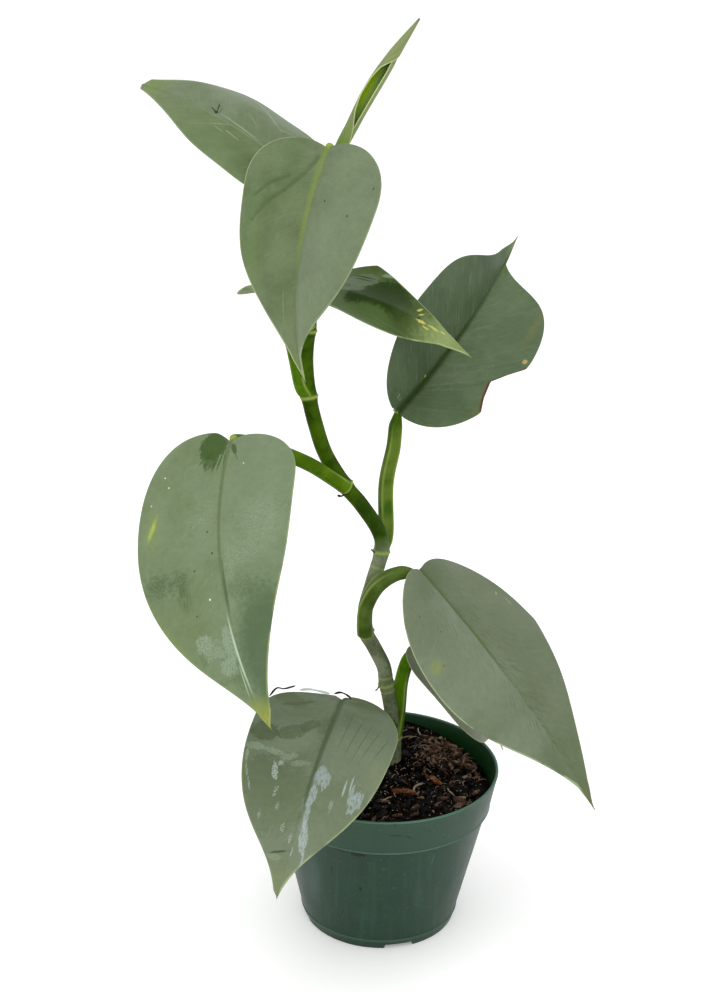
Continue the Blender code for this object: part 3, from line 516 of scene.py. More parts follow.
on_band = add(tree, "MapRange", {0: height, LOW: BAND_BOTTOM - 0.2, HIGH: BAND_BOTTOM + 0.1, MOST: 0.7})
lip_start, lip_end = POT_HEIGHT - 0.9, POT_HEIGHT - 0.3
lip_highlight = add(tree, "MapRange", {0: height, LOW: lip_start, HIGH: lip_end, MOST: 0.75}, **SMOOTH)
specks = add(tree, "MapRange", {0: speckle, LOW: 0.62, HIGH: 0.75, MOST: 0.2})
paint = [(dried, "#264434"), (on_band, "#254030")]  # share, and the colour laid over what is there
for middle, half_width, most, colour in PAINTED_SHADE_AND_HIGHLIGHT_LINES:
    on_line = add(tree, "Math", {0: height, 1: middle, 2: half_width}, operation="COMPARE")
    paint.append((add(tree, "MapRange", {0: on_line, MOST: most}), colour))
# of these, the lip's paler colour is a painted highlight
paint += [(inside, "#08320E"), (lip_highlight, "#4F7560"), (specks, "#587664")]
for share, colour in paint:
    body = add(tree, "Mix", {0: share, BELOW: body, ABOVE: colour}, **COLOURS)
body, _ = lay_marks(tree, wall_plan, POT_MARKS, body)
peel = add(tree, "Bump", {"Height": bloom, "Strength": 0.10, "Distance": 0.0006})
roughness = add(tree, "MapRange", {0: bloom, LOW: 0.3, HIGH: 0.7, 3: 0.36, MOST: 0.52})
finish(tree, shader, Base_Color=body, Normal=peel, Roughness=roughness)

# %% [markdown]
# The slots and drain holes are cut with boxes and rods, which are then taken away. The slots' ends slope a
# little, as the mould needs to open. The numbers on the wall's points, such as the way round it, live
# through the cut.

# %% Pot, cut and placed
ring = all_round(POT_SIDES)
reach, level = profile[:, :1], np.repeat(profile[:, 1:], POT_SIDES, axis=1)
points = np.stack([reach * np.cos(ring), reach * np.sin(ring), level], axis=-1).reshape(-1, 3)
pot_shell = make_piece("pot_shell", points, grid_faces(len(profile), POT_SIDES, ring=True), green_pp, {
    "inside": np.repeat(np.arange(len(profile)) >= len(outside_wall), POT_SIDES),
    "arc_mm": np.arctan2(points[:, 0], -points[:, 1]) * np.hypot(points[:, 0], points[:, 1]),
    "height_mm": points[:, 2],
}, smooth_angle=40)

cutters = bpy.data.collections.new("cutters")
bpy.context.scene.collection.children.link(cutters)
corners = np.array([(x, y, z) for x in (-0.5, 0.5) for y in (-0.5, 0.5) for z in (-0.5, 0.5)]) * SLOT_SIZE
corners[:, 1] *= np.where(corners[:, 2] > 0, SLOT_TOP_SHARE, 1.0)
box_faces = [(0, 1, 3, 2), (4, 6, 7, 5), (0, 4, 5, 1), (2, 3, 7, 6), (0, 2, 6, 4), (1, 5, 7, 3)]
rod_turn = all_round(DRAIN_SIDES)
for index in range(4):
    turn = math.radians(FIRST_SLOT + 90 * index)
    spin = np.array(((math.cos(turn), math.sin(turn), 0), (-math.sin(turn), math.cos(turn), 0), (0, 0, 1)))
    box = (corners + (POT_FOOT_RADIUS, 0, 0)) @ spin
    cutters.objects.link(make_piece("slot", box, box_faces, green_pp))
    turn += math.pi / 4
    middle = DRAIN_CIRCLE * math.cos(turn), DRAIN_CIRCLE * math.sin(turn)
    rod = [(middle[0] + DRAIN_RADIUS * math.cos(a), middle[1] + DRAIN_RADIUS * math.sin(a), z)
           for z in DRAIN_HEIGHTS for a in rod_turn]
    cutters.objects.link(make_piece("drain", rod, tube_faces(2, DRAIN_SIDES), green_pp))
step = pot_shell.modifiers.new("cut", "BOOLEAN")
step.operand_type = "COLLECTION"
step.collection = cutters
graph = bpy.context.evaluated_depsgraph_get()
pot_shell.data = bpy.data.meshes.new_from_object(pot_shell.evaluated_get(graph))
pot_shell.modifiers.clear()
for cutter in list(cutters.objects):
    bpy.data.objects.remove(cutter, do_unlink=True)
bpy.data.collections.remove(cutters)
settle(pot_shell, "pot")

# %% [markdown]
# The soil is a peat and bark mix, damp and nearly black, with fibres that dried pale. Far from the wall
# it is heaped a little. One surface can't show that: the bed is a bent disc with coarse crumbs pushed into
# it by noise, and the loose matter is real geometry on top, as chips, crumbs and fibres.

# %% Soil bed
SOIL_LEVEL = 70.0
SOIL_SWELL, SOIL_SWELL_TURN = 4.0, 100.0
SOIL_MOUND, SOIL_MOUND_AT, SOIL_MOUND_SPREAD = 3.0, (24.0, 16.0), 13.0
SOIL_GRAIN = 1.1
SOIL_GAP = 0.3
SOIL_RINGS, SOIL_SIDES = 70, 200


def soil_height(x, y):
    """Height of the soil: its level at the wall, a low mound at the back right, and slow waves."""
    angle = np.arctan2(y, x)
    edge = SOIL_LEVEL + SOIL_SWELL * np.cos(2 * (angle - math.radians(SOIL_SWELL_TURN)))
    share = np.minimum(np.hypot(x, y) / wall_radius(SOIL_LEVEL, False), 1.0)
    away = np.hypot(x - SOIL_MOUND_AT[0], y - SOIL_MOUND_AT[1]) / SOIL_MOUND_SPREAD
    rise = SOIL_MOUND * np.exp(-away ** 2 / 2) + SOIL_GRAIN * np.sin(0.9 * x + 1.3) * np.sin(0.8 * y - 0.4)
    return SOIL_LEVEL * (1 - share) + edge * share + rise * (1 - share ** 4)


def crumbs(x, y, seed, size, waves=20):
    """Rough ground from crossed waves at random angles; about -1 to 1."""
    draw = np.random.default_rng(seed)
    total = np.zeros_like(x, dtype=float)
    for _ in range(waves):
        angle, phase_a, phase_b = draw.uniform(0, 2 * math.pi, 3)
        beat = 2 * math.pi / (size * draw.uniform(0.5, 1.6))
        u = (x * math.cos(angle) + y * math.sin(angle)) * beat + phase_a
        v = (y * math.cos(angle) - x * math.sin(angle)) * beat + phase_b
        total += np.sin(u) * np.sin(v)
    return total / math.sqrt(waves)


ring = all_round(SOIL_SIDES)
circle = np.stack((np.cos(ring), np.sin(ring)), axis=1)
wall_reach = wall_radius(SOIL_LEVEL, False)
edge_heights = soil_height(wall_reach * circle[:, 0], wall_reach * circle[:, 1])
edge_reach = np.array([wall_radius(h, False) for h in edge_heights]) - SOIL_GAP
low = FLOOR_TOP + SOIL_GAP
soil_rows = [np.column_stack((0 * circle, np.full(SOIL_SIDES, low)))]
side_rows = ((low, 2.0), (low + 2.0, SOIL_GAP), (BAND_BOTTOM - 1.0, SOIL_GAP), (BAND_BOTTOM + 2.0, SOIL_GAP))
for height, back in side_rows:
    round_row = circle * (wall_radius(height, False) - back)
    soil_rows.append(np.column_stack((round_row, np.full(SOIL_SIDES, height))))
for share in np.linspace(1, 0, SOIL_RINGS):
    x, y = edge_reach * share * circle[:, 0], edge_reach * share * circle[:, 1]
    rough = 1.0 * crumbs(x, y, 3, 5.0) + 0.5 * crumbs(x, y, 4, 2.0)
    z = edge_heights if share == 1 else soil_height(x, y) + rough * (1 - share ** 12)
    soil_rows.append(np.stack((x, y, z), axis=1))
soil_points = np.vstack(soil_rows)
print("soil bed", len(soil_points), "points, top at", soil_points[:, 2].max().round(1), "mm")

# %% [markdown]
# Damp peat is almost black, and the eye reads it by its crumbs: dark hollows, brown lumps, and here and
# there a light grain. The colour follows three noises whose sizes are those of the real grains: 6 mm
# lumps, 1.5 mm crumbs and 0.5 mm grit. It has hardly any gloss.

# %% Soil material
peat, tree, shader = new_material("damp_peat_and_bark", Specular_IOR_Level=0.05)
place = add(tree, "TexCoord", output="Object")
lumps = add(tree, "TexNoise", {"Vector": place, "Scale": 160.0, "Detail": 3.0})
grains = add(tree, "TexVoronoi", {"Vector": place, "Scale": 650.0}, "Color")
hollows = add(tree, "TexVoronoi", {"Vector": place, "Scale": 650.0})
grit = add(tree, "TexNoise", {"Vector": place, "Scale": 1800.0, "Detail": 2.0})
lumpy = add(tree, "MapRange", {0: lumps, LOW: 0.4, HIGH: 0.65}, **SMOOTH)
ground = add(tree, "Mix", {0: lumpy, BELOW: "#020101", ABOVE: "#090605"}, **COLOURS)
for share, colour in (
    (add(tree, "MapRange", {0: grains, LOW: 0.6, HIGH: 0.95}, **SMOOTH), "#21160F"),
    (add(tree, "MapRange", {0: grit, LOW: 0.68, HIGH: 0.75, MOST: 0.8}), "#5E5040"),
):
    ground = add(tree, "Mix", {0: share, BELOW: ground, ABOVE: colour}, **COLOURS)
rough = add(tree, "Bump", {"Height": hollows, "Strength": 0.8, "Distance": 0.0008})
roughness = add(tree, "MapRange", {0: lumps, LOW: 0.3, HIGH: 0.7, 3: 0.95, MOST: 0.6})
finish(tree, shader, Base_Color=ground, Normal=rough, Roughness=roughness)
soil_bed = make_piece("soil_bed", soil_points, grid_faces(len(soil_rows), SOIL_SIDES, ring=True), peat)
settle(soil_bed, "soil")

# %% [markdown]
# Bark chips and fibres. A chip of bark is a torn slab: an uneven outline, a few millimetres thick, lying at
# any tilt. A fibre is a bent hair of coir or root. Both are scattered with a seeded draw, so that each run
# gives the same soil, and every one carries a tone from 0, black and damp, to 1, pale and dry.

# %% Chip and fibre shapes
CHIP_SIDES = 9
CHIP_LAYERS = ((-0.5, 0.75), (-0.2, 1.0), (0.3, 0.97), (0.5, 0.72))  # height and width, as shares
FIBRE_SIDES, FIBRE_STEPS = 5, 9


def bark_chip(draw, centre, size, turn, lean, tone):
    """A torn slab of bark: points, faces and the tone of each point."""
    angles = (np.arange(CHIP_SIDES) + draw.uniform(-0.3, 0.3, CHIP_SIDES)) * 2 * math.pi / CHIP_SIDES
    reach = draw.uniform(0.65, 1.1, CHIP_SIDES)
    outline = np.stack((np.cos(angles) * reach * size[0] / 2, np.sin(angles) * reach * size[1] / 2), axis=1)
    rows = []
    for level, inset in CHIP_LAYERS:
        bow = size[2] * (level + draw.uniform(-0.18, 0.18, CHIP_SIDES)) + 0.03 * outline[:, 0] ** 2 / size[0]
        rows.append(np.column_stack((outline * inset, bow)))
    tilt = np.array(Euler((draw.uniform(-0.5, 0.5), lean, turn)).to_matrix())
    points = np.vstack(rows) @ tilt.T + centre
    tones = np.clip(tone + draw.uniform(-0.08, 0.08, len(points)), 0, 1)
    return points, tube_faces(len(CHIP_LAYERS), CHIP_SIDES), tones


def fibre(draw, centre, length, radius, turn, tone):
    """A bent fibre that lies on the soil, thin at both ends."""
    t = np.linspace(-0.5, 0.5, FIBRE_STEPS)
    heading = turn + draw.uniform(-1.6, 1.6) * t
    steps = np.stack((np.cos(heading), np.sin(heading), draw.uniform(-0.25, 0.25) + 0 * t), axis=1)
    line = np.cumsum(steps * length / FIBRE_STEPS, axis=0)
    line += centre - line.mean(axis=0)
    line[:, 2] += draw.uniform(0.0, 1.2) * np.cos(math.pi * t)
    side = np.stack((-np.sin(heading), np.cos(heading), 0 * t), axis=1)
    thin = radius * np.sqrt(np.clip(1.02 - (2 * t) ** 4, 0, 1))
    ring = all_round(FIBRE_SIDES)[None, :, None]
    circles = side[:, None] * np.cos(ring) + (0, 0, 1.0) * np.sin(ring)
    points = (line[:, None] + thin[:, None, None] * circles).reshape(-1, 3)
    return points, tube_faces(FIBRE_STEPS, FIBRE_SIDES), np.full(len(points), tone)


# %% Scattered chips and fibres
SCATTER_REACH = 47.5
STEM_FOOT, STEM_CLEAR = (5.5, 12.5), 5.5
CHIP_COUNT, FIBRE_COUNT = 1500, 620
CHIP_LIMIT, FIBRE_LIMIT = 49, 50  # radius in mm that no end of one passes


def on_soil(draw):
    """A random place on the soil, clear of the wall and of the stem."""
    while True:
        radius, angle = SCATTER_REACH * math.sqrt(draw.random()), draw.uniform(-math.pi, math.pi)
        x, y = radius * math.cos(angle), radius * math.sin(angle)
        if math.hypot(x - STEM_FOOT[0], y - STEM_FOOT[1]) > STEM_CLEAR:
            return np.array((x, y, float(soil_height(x, y))))


draw = np.random.default_rng(11)
chips = []
for _ in range(CHIP_COUNT):
    place = on_soil(draw)
    length = min(1.1 + 6.0 * draw.random() ** 2.8, 2 * (CHIP_LIMIT - np.hypot(*place[:2])))
    size = (length, length * draw.uniform(0.35, 0.7), length * draw.uniform(0.15, 0.35))
    tone = 0.02 + 0.56 * draw.random() ** 3.2
    chips.append(bark_chip(draw, place + (0, 0, draw.uniform(-0.3, 1.0)), size, draw.uniform(0, math.pi),
                           draw.uniform(-0.6, 0.6), tone))
strands = []
for _ in range(FIBRE_COUNT):
    place = on_soil(draw)
    length = min(1.2 + 4.5 * draw.random() ** 2, 2 * (FIBRE_LIMIT - np.hypot(*place[:2])))
    strands.append(fibre(draw, place + (0, 0, draw.uniform(0.5, 1.7)), length, draw.uniform(0.07, 0.19),
                         draw.uniform(0, 2 * math.pi), 0.25 + 0.5 * draw.random() ** 2))
print(len(chips), "chips and", len(strands), "fibres scattered")

# %% [markdown]
# A few pieces are seen one by one, so they are listed: an orange splinter of bark with a pale
# curled shaving beside it, a red-brown chip behind, a brown fibrous clump heaped against the right wall,
# and pale bits below the rim. The clump is made of many chips and fibres drawn round one centre.

# %% Pieces placed one by one
CLUMP_AT, CLUMP_SPREAD = np.array((32.0, 20.0)), np.array((6.8, 7.4))
CLUMP_CHIPS, CLUMP_FIBRES = 210, 240
CLUMP_LIMITS = 45, 46  # radius in mm of the last place for a chip and for a fibre
# pale specks on the soil: partly pale grit and partly painted glints of the damp soil
GLINTS = 420
PALE, ORANGE = 0.76, 1.04
SHARDS = (-0.3, 0.0, 0.12, 0.3)  # where a laid piece's splinters lie, as shares of its length
LAID = (  # place, size, turn and tone of each chip
    ((9.6, -19.0), (10.0, 3.8, 1.8), 13, ORANGE), ((14.0, -20.5), (3.4, 2.2, 1.4), 60, ORANGE),
    ((23.7, -3.0), (11.5, 3.6, 1.6), -43, ORANGE), ((43.0, -13.0), (6.0, 3.2, 1.8), 60, 0.6),
    ((36.4, -20.1), (4.4, 1.8, 1.2), 50, PALE), ((44.2, 11.5), (14.0, 2.4, 1.6), 94, 0.62),
    ((15.0, 8.0), (7.0, 2.6, 1.4), 20, 0.4), ((30.0, -10.0), (6.0, 2.6, 1.4), 10, 0.42),
)
LONG_FIBRES = (  # place, length, thickness, turn and tone
    ((16.0, -14.0), 13.5, 0.5, 68, PALE), ((12.0, 30.0), 9.0, 0.3, 30, 0.62),
    ((18.0, 38.0), 10.0, 0.3, 100, 0.7), ((10.0, 36.0), 8.0, 0.25, 60, 0.66),
    ((23.0, 34.0), 9.0, 0.28, -20, 0.6), ((2.0, -28.0), 7.0, 0.25, 40, PALE),
    ((31.0, -16.0), 7.0, 0.3, 120, 0.7), ((38.0, -4.0), 8.0, 0.28, 80, 0.66),
    ((20.0, 22.0), 8.0, 0.25, -60, 0.7),
)


def on_top(x, y, lift):
    """A place above the soil, by a lift in mm."""
    return np.array((x, y, float(soil_height(x, y)) + lift))


draw = np.random.default_rng(5)
for (x, y), size, turn, tone in LAID:
    angle = math.radians(turn)
    for share in SHARDS:
        place = on_top(x + share * size[0] * math.cos(angle), y + share * size[0] * math.sin(angle), 1.2)
        shard = np.array(size) * draw.uniform((0.4, 0.5, 0.6), (0.65, 1.0, 1.1))
        heading = angle + draw.uniform(-0.4, 0.4)
        chips.append(bark_chip(draw, place, shard, heading, 0.1, tone - draw.uniform(0, 0.14)))
for _ in range(CLUMP_CHIPS):
    x, y = CLUMP_AT + draw.normal(size=2) * CLUMP_SPREAD
    size = (draw.uniform(1.8, 6.5), draw.uniform(0.8, 2.8), draw.uniform(0.4, 1.3))
    if math.hypot(x, y) < CLUMP_LIMITS[0]:
        chips.append(bark_chip(draw, on_top(x, y, draw.uniform(0.6, 3.4)), size, draw.uniform(0, math.pi),
                               draw.uniform(-0.7, 0.7), draw.uniform(0.26, 0.62)))
for _ in range(CLUMP_FIBRES):
    x, y = CLUMP_AT + draw.normal(size=2) * CLUMP_SPREAD * 1.1
    if math.hypot(x, y) < CLUMP_LIMITS[1]:
        strands.append(fibre(draw, on_top(x, y, draw.uniform(1.0, 3.8)), draw.uniform(1.5, 6),
                             draw.uniform(0.1, 0.22), draw.uniform(0, 6.3), draw.uniform(0.45, 0.72)))
for (x, y), length, thickness, turn, tone in LONG_FIBRES:
    strands.append(fibre(draw, on_top(x, y, 1.8), length, thickness, math.radians(turn), tone))
# pale specks: partly pale grit like perlite, partly painted glints that stand in for highlights on wet
# crumbs
for _ in range(GLINTS):
    size = draw.uniform(0.5, 1.2) * np.array((1.0, 0.6, 0.4))
    chips.append(bark_chip(draw, on_soil(draw) + (0, 0, 1.2), size, draw.uniform(0, math.pi), 0.2, PALE))
print("with those laid by hand,", len(chips), "chips and", len(strands), "fibres")

# %% [markdown]
# Bark weathers through one scale of browns, so one material serves every chip: the tone picks a place on
# that scale, and a streaky noise of 1 mm grain breaks it up. Its far end holds the orange of a fresh break.

# %% Bark material and placing
BARK_SCALE = (
    (0.0, "#030202"), (0.22, "#0A0605"), (0.38, "#2C1D16"), (0.52, "#634636"),
    (0.68, "#9C8A74"), (0.85, "#9C8A74"), (0.93, "#7C4A2C"), (1.0, "#5C3018"),
)


def gather(pieces):
    """Several small bodies as one list of points, faces and tones."""
    points, faces, tones = zip(*pieces)
    starts = np.cumsum([0] + [len(some) for some in points])
    joined = [
        [int(corner) + start for corner in face] for start, some in zip(starts, faces) for face in some
    ]
    return np.vstack(points), joined, np.concatenate(tones)


bark, tree, shader = new_material("torn_pine_bark", Roughness=0.62, Specular_IOR_Level=0.12)
place = add(tree, "TexCoord", output="Object")
tone = add(tree, "Attribute", output="Fac", attribute_name="tone")
streak = add(tree, "TexNoise", {"Vector": place, "Scale": 1100.0, "Detail": 4.0, "Roughness": 0.7})
mottled = add(tree, "Math", {0: streak, 1: 0.3, 2: tone}, operation="MULTIPLY_ADD")
browns = add(tree, "ValToRGB", {"Fac": add(tree, "Math", {0: mottled, 1: 0.15}, operation="SUBTRACT")})
for index, (position, code) in enumerate(BARK_SCALE):
    stops = browns.node.color_ramp.elements
    stop = stops[index] if index < 2 else stops.new(position)
    stop.position, stop.color = position, linear(code)
fissures = add(tree, "Bump", {"Height": streak, "Strength": 0.7, "Distance": 0.0005})
finish(tree, shader, Base_Color=browns, Normal=fissures)

for name, pieces in (("bark_chips", chips), ("soil_fibres", strands)):
    points, faces, tones = gather(pieces)
    settle(make_piece(name, points, faces, bark, {"tone": tones}, smooth_angle=35), "soil")

# %% [markdown]
# The stem climbs in a zigzag, turning a little at every node, where a leaf clasps it. It is a tube along
# a smooth curve. Each node is a low swelling with a thin raised ring, the scar that a leaf base leaves.
# Old joints below carry narrower scars as well.

# %% Stem shape
STEM_RADIUS = 3.35
STEM_SIDES = 28
STEM_SPACING = 0.55
NODE_SWELLING, NODE_RING = (0.35, 2.4), (0.42, 0.5)  # height and half length of each, mm
SCAR_RING = (0.12, 0.4)
STEM_ROUTE = (  # points in mm from the pot's axis, and whether each is a node
    ((6.0, 13.0, 50.0), False), ((5.5, 12.5, 70.0), False), ((5.0, 12.0, 84.0), True),
    ((3.3, 10.5, 99.0), False), ((0.6, 9.0, 113.7), True), ((-1.0, 8.0, 123.0), False),
    ((-6.0, 7.0, 133.6), False), ((-9.4, 6.0, 140.7), True), ((-10.0, 6.5, 152.0), False),
    ((-7.0, 7.5, 165.0), False), ((-3.4, 8.0, 180.0), True), ((-5.0, 8.0, 189.5), False),
    ((-13.0, 6.0, 202.5), False), ((-20.3, 4.0, 212.0), True), ((-29.0, 3.0, 226.3), False),
    ((-33.6, 2.0, 240.0), False), ((-36.6, 2.0, 252.7), True), ((-38.3, 2.5, 268.0), False),
    ((-37.5, 3.0, 282.0), True), ((-35.0, 2.0, 303.0), True), ((-34.0, 2.0, 311.0), False),
)
SCARS = (110.2, 117.6, 172.5)  # heights of the thin scars on the old wood


def sweep(centres, reach, start_side):
    """Rings of points along a route; reach gives each point's distance from the centre, ring by ring."""
    tangents = unit(np.gradient(centres, axis=0))
    side = np.array(start_side, float)
    turn = all_round(reach.shape[1])
    rings = []
    for centre, forward, radii in zip(centres, tangents, reach):
        side = unit(side - forward * (side @ forward))
        across = np.cross(forward, side)
        circle = np.cos(turn)[:, None] * side + np.sin(turn)[:, None] * across
        rings.append(centre + radii[:, None] * circle)
    return np.array(rings)


def closed_tube(name, rings, surface, values):
    """A tube from rings of points, with both ends capped; values run ring by ring and side by side."""
    size = rings.shape[:2]
    values = {label: np.broadcast_to(numbers, size).reshape(-1) for label, numbers in values.items()}
    return make_piece(name, rings.reshape(-1, 3), tube_faces(*size), surface, values, smooth_angle=70)


def bump(away, height, half_length):
    """The height of a low round bump at some distance from its middle."""
    return height * np.exp(-(away / half_length) ** 2)


stem_line, travelled = even_route([point for point, _ in STEM_ROUTE], STEM_SPACING)
stem_radius = np.full(len(travelled), STEM_RADIUS)
ring_mark = np.zeros(len(travelled))
for node in (np.array(point) for point, is_node in STEM_ROUTE if is_node):
    away = travelled - travelled[np.linalg.norm(stem_line - node, axis=1).argmin()]
    stem_radius += bump(away, *NODE_SWELLING) + bump(away, *NODE_RING)
    ring_mark += bump(away, 1.0, 0.75)
for scar in SCARS:
    away = np.abs(stem_line[:, 2] - scar)
    stem_radius += bump(away, *SCAR_RING)
    ring_mark += bump(away, 0.8, 0.5)
turn = all_round(STEM_SIDES)
stem_reach = stem_radius[:, None] * (1 + 0.025 * np.cos(3 * turn + 0.4) + 0.015 * np.sin(5 * turn))
print("stem", round(travelled[-1]), "mm long")

# %% [markdown]
# A young stem is smooth, waxy and deep green; low down, the skin turns grey-green and corky. One finish
# serves the stem and the leaf stalks: fine lengthwise lines follow the fibres under the skin, rings and
# edges are paler, and age runs from green to grey. Each stalk gives its own two greens. Plant skin has an
# IOR near 1.4 and a soft gloss.

# %% Stem material
def plant_skin(name, dark, light, edge="#93A44F", old=("#5F674C", "#7A8268")):
    """The skin of a stem or stalk, from its two greens and the colour of its rings and edges."""
    made, tree, shader = new_material(name, IOR=1.4, Specular_IOR_Level=0.06)
    age, ring, around, along = (
        add(tree, "Attribute", output="Fac", attribute_name=label)
        for label in ("age", "ring", "around", "along_mm")
    )
    place = add(tree, "TexCoord", output="Object")
    wound = add(tree, "CombineXYZ", {"X": around, "Y": along})
    drawn_out = add(tree, "Mapping", {"Vector": wound, "Scale": (46.0, 0.10, 1.0)})
    fibres = add(tree, "TexNoise", {"Vector": drawn_out, "Scale": 1.0, "Detail": 4.0, "Roughness": 0.6})
    patches = add(tree, "TexNoise", {"Vector": place, "Scale": 120.0, "Detail": 4.0})
    cork = add(tree, "TexNoise", {"Vector": place, "Scale": 700.0, "Detail": 3.0})
    blotched = add(tree, "MapRange", {0: patches, LOW: 0.35, HIGH: 0.65}, **SMOOTH)
    young = add(tree, "Mix", {0: blotched, BELOW: dark, ABOVE: light}, **COLOURS)
    aged = add(tree, "Mix", {0: blotched, BELOW: old[0], ABOVE: old[1]}, **COLOURS)
    skin = add(tree, "Mix", {0: age, BELOW: young, ABOVE: aged}, **COLOURS)
    rough_skin = add(tree, "MapRange", {0: cork, LOW: 0.55, HIGH: 0.72, MOST: 0.5}, **SMOOTH)
    for share, colour in (
        (add(tree, "Math", {0: rough_skin, 1: age}, operation="MULTIPLY"), "#39402A"),
        (add(tree, "MapRange", {0: fibres, LOW: 0.52, HIGH: 0.7, MOST: 0.4}, **SMOOTH), light),
        (add(tree, "MapRange", {0: fibres, LOW: 0.45, HIGH: 0.28, MOST: 0.3}, **SMOOTH), dark),
        (add(tree, "MapRange", {0: ring, MOST: 0.85}), edge),
    ):
        skin = add(tree, "Mix", {0: share, BELOW: skin, ABOVE: colour}, **COLOURS)
    ribs = add(tree, "Bump", {"Height": fibres, "Strength": 0.3, "Distance": 0.0003})
    roughness = add(tree, "MapRange", {0: age, 3: 0.4, MOST: 0.62})
    finish(tree, shader, Base_Color=skin, Normal=ribs, Roughness=roughness)
    return made


GREY_BELOW, GREY_FADE = 188, 12  # height where the grey old skin begins, and over what height it sets in
stem_skin = plant_skin("young_stem_skin", "#203700", "#3A5500")
around = np.minimum(turn, 2 * math.pi - turn) / (2 * math.pi)
age = np.clip((GREY_BELOW - stem_line[:, 2:]) / GREY_FADE, 0, 1)
stem_piece = closed_tube("stem_skin", sweep(stem_line, stem_reach, (1, 0, 0)), stem_skin, {
    "age": age, "ring": ring_mark[:, None], "around": around[None, :], "along_mm": travelled[:, None],
})
settle(stem_piece, "stem")

# %% [markdown]
# Leaves. Each leaf is described the way a botanist would draw it: where the blade starts, which way it
# points, how it arches and twists on its way to the tip, how its two halves fold, and a flat outline with
# a notch, two lobes, tapering sides and a point. The same values made the plain solids, so the fine blade
# lies where the solid does. The looks are added to them: the greens of each half, and how the veins show.

# %% Leaf values
@dataclass
class Leaf:
    """One leaf's place, bend, outline and looks; pairs are (right half, left half) seen from the stalk."""

    name: str
    base: tuple
    heading: float
    pitch: float
    roll: float
    arch: float
    sickle: float
    twist: float
    fold: float
    curl: tuple
    length: float
    half_width: float
    left_share: float
    widest: tuple
    lobe_out: float
    lobe_back: tuple
    tip_length: float
    tip_width: tuple
    fullness: tuple
    stalk: tuple
    bite: tuple = ()
    right: tuple = ("#5A6B49", "#66755A")  # darker and lighter greens of the upper face
    left: tuple = ("#5A6B49", "#66755A")
    midrib: tuple = ("#5E6D40", 1.0, 0.5)  # colour, half width at the stalk in mm, and how far it shows
    veins: tuple = ("#6F7E60", 0.15)  # colour and strength of the side veins
    # the fine dark lines that wrinkles sets are painted shade of fine wrinkles; it also weights the bump of
    # the vein streaks
    wrinkles: float = 0.12  # strength of the fine dark lines beside the midrib
    streaks: float = 0.12  # strength of the fine pale lines along the side veins
    dry_end: float = 0.8  # how brown the very tip is
    neck: float = 9.0  # length of the stalk's narrow part below the blade, mm
    knuckle: tuple = (-1.2, 2.0)  # where the stalk ends, in mm above the blade and along the midrib
    margin: tuple = ("#8E9E76", 0.3, 0.3)  # colour, and how it shows on the right and the left
    tip: str = "#677D3A"
    green: tuple = ("#2B4E00", "#496700")  # the stalk's darker and lighter green
    sheath: tuple = (0.5, 0.6)  # height of the stalk's wings in mm, and how far up they reach
    gloss: float = 0.34
    bloom: float = 0.05  # how much of the wax shows as a sheen
    creases: tuple = ()  # routes on the plan, with half width and depth in mm
    marks: list = field(default_factory=list)


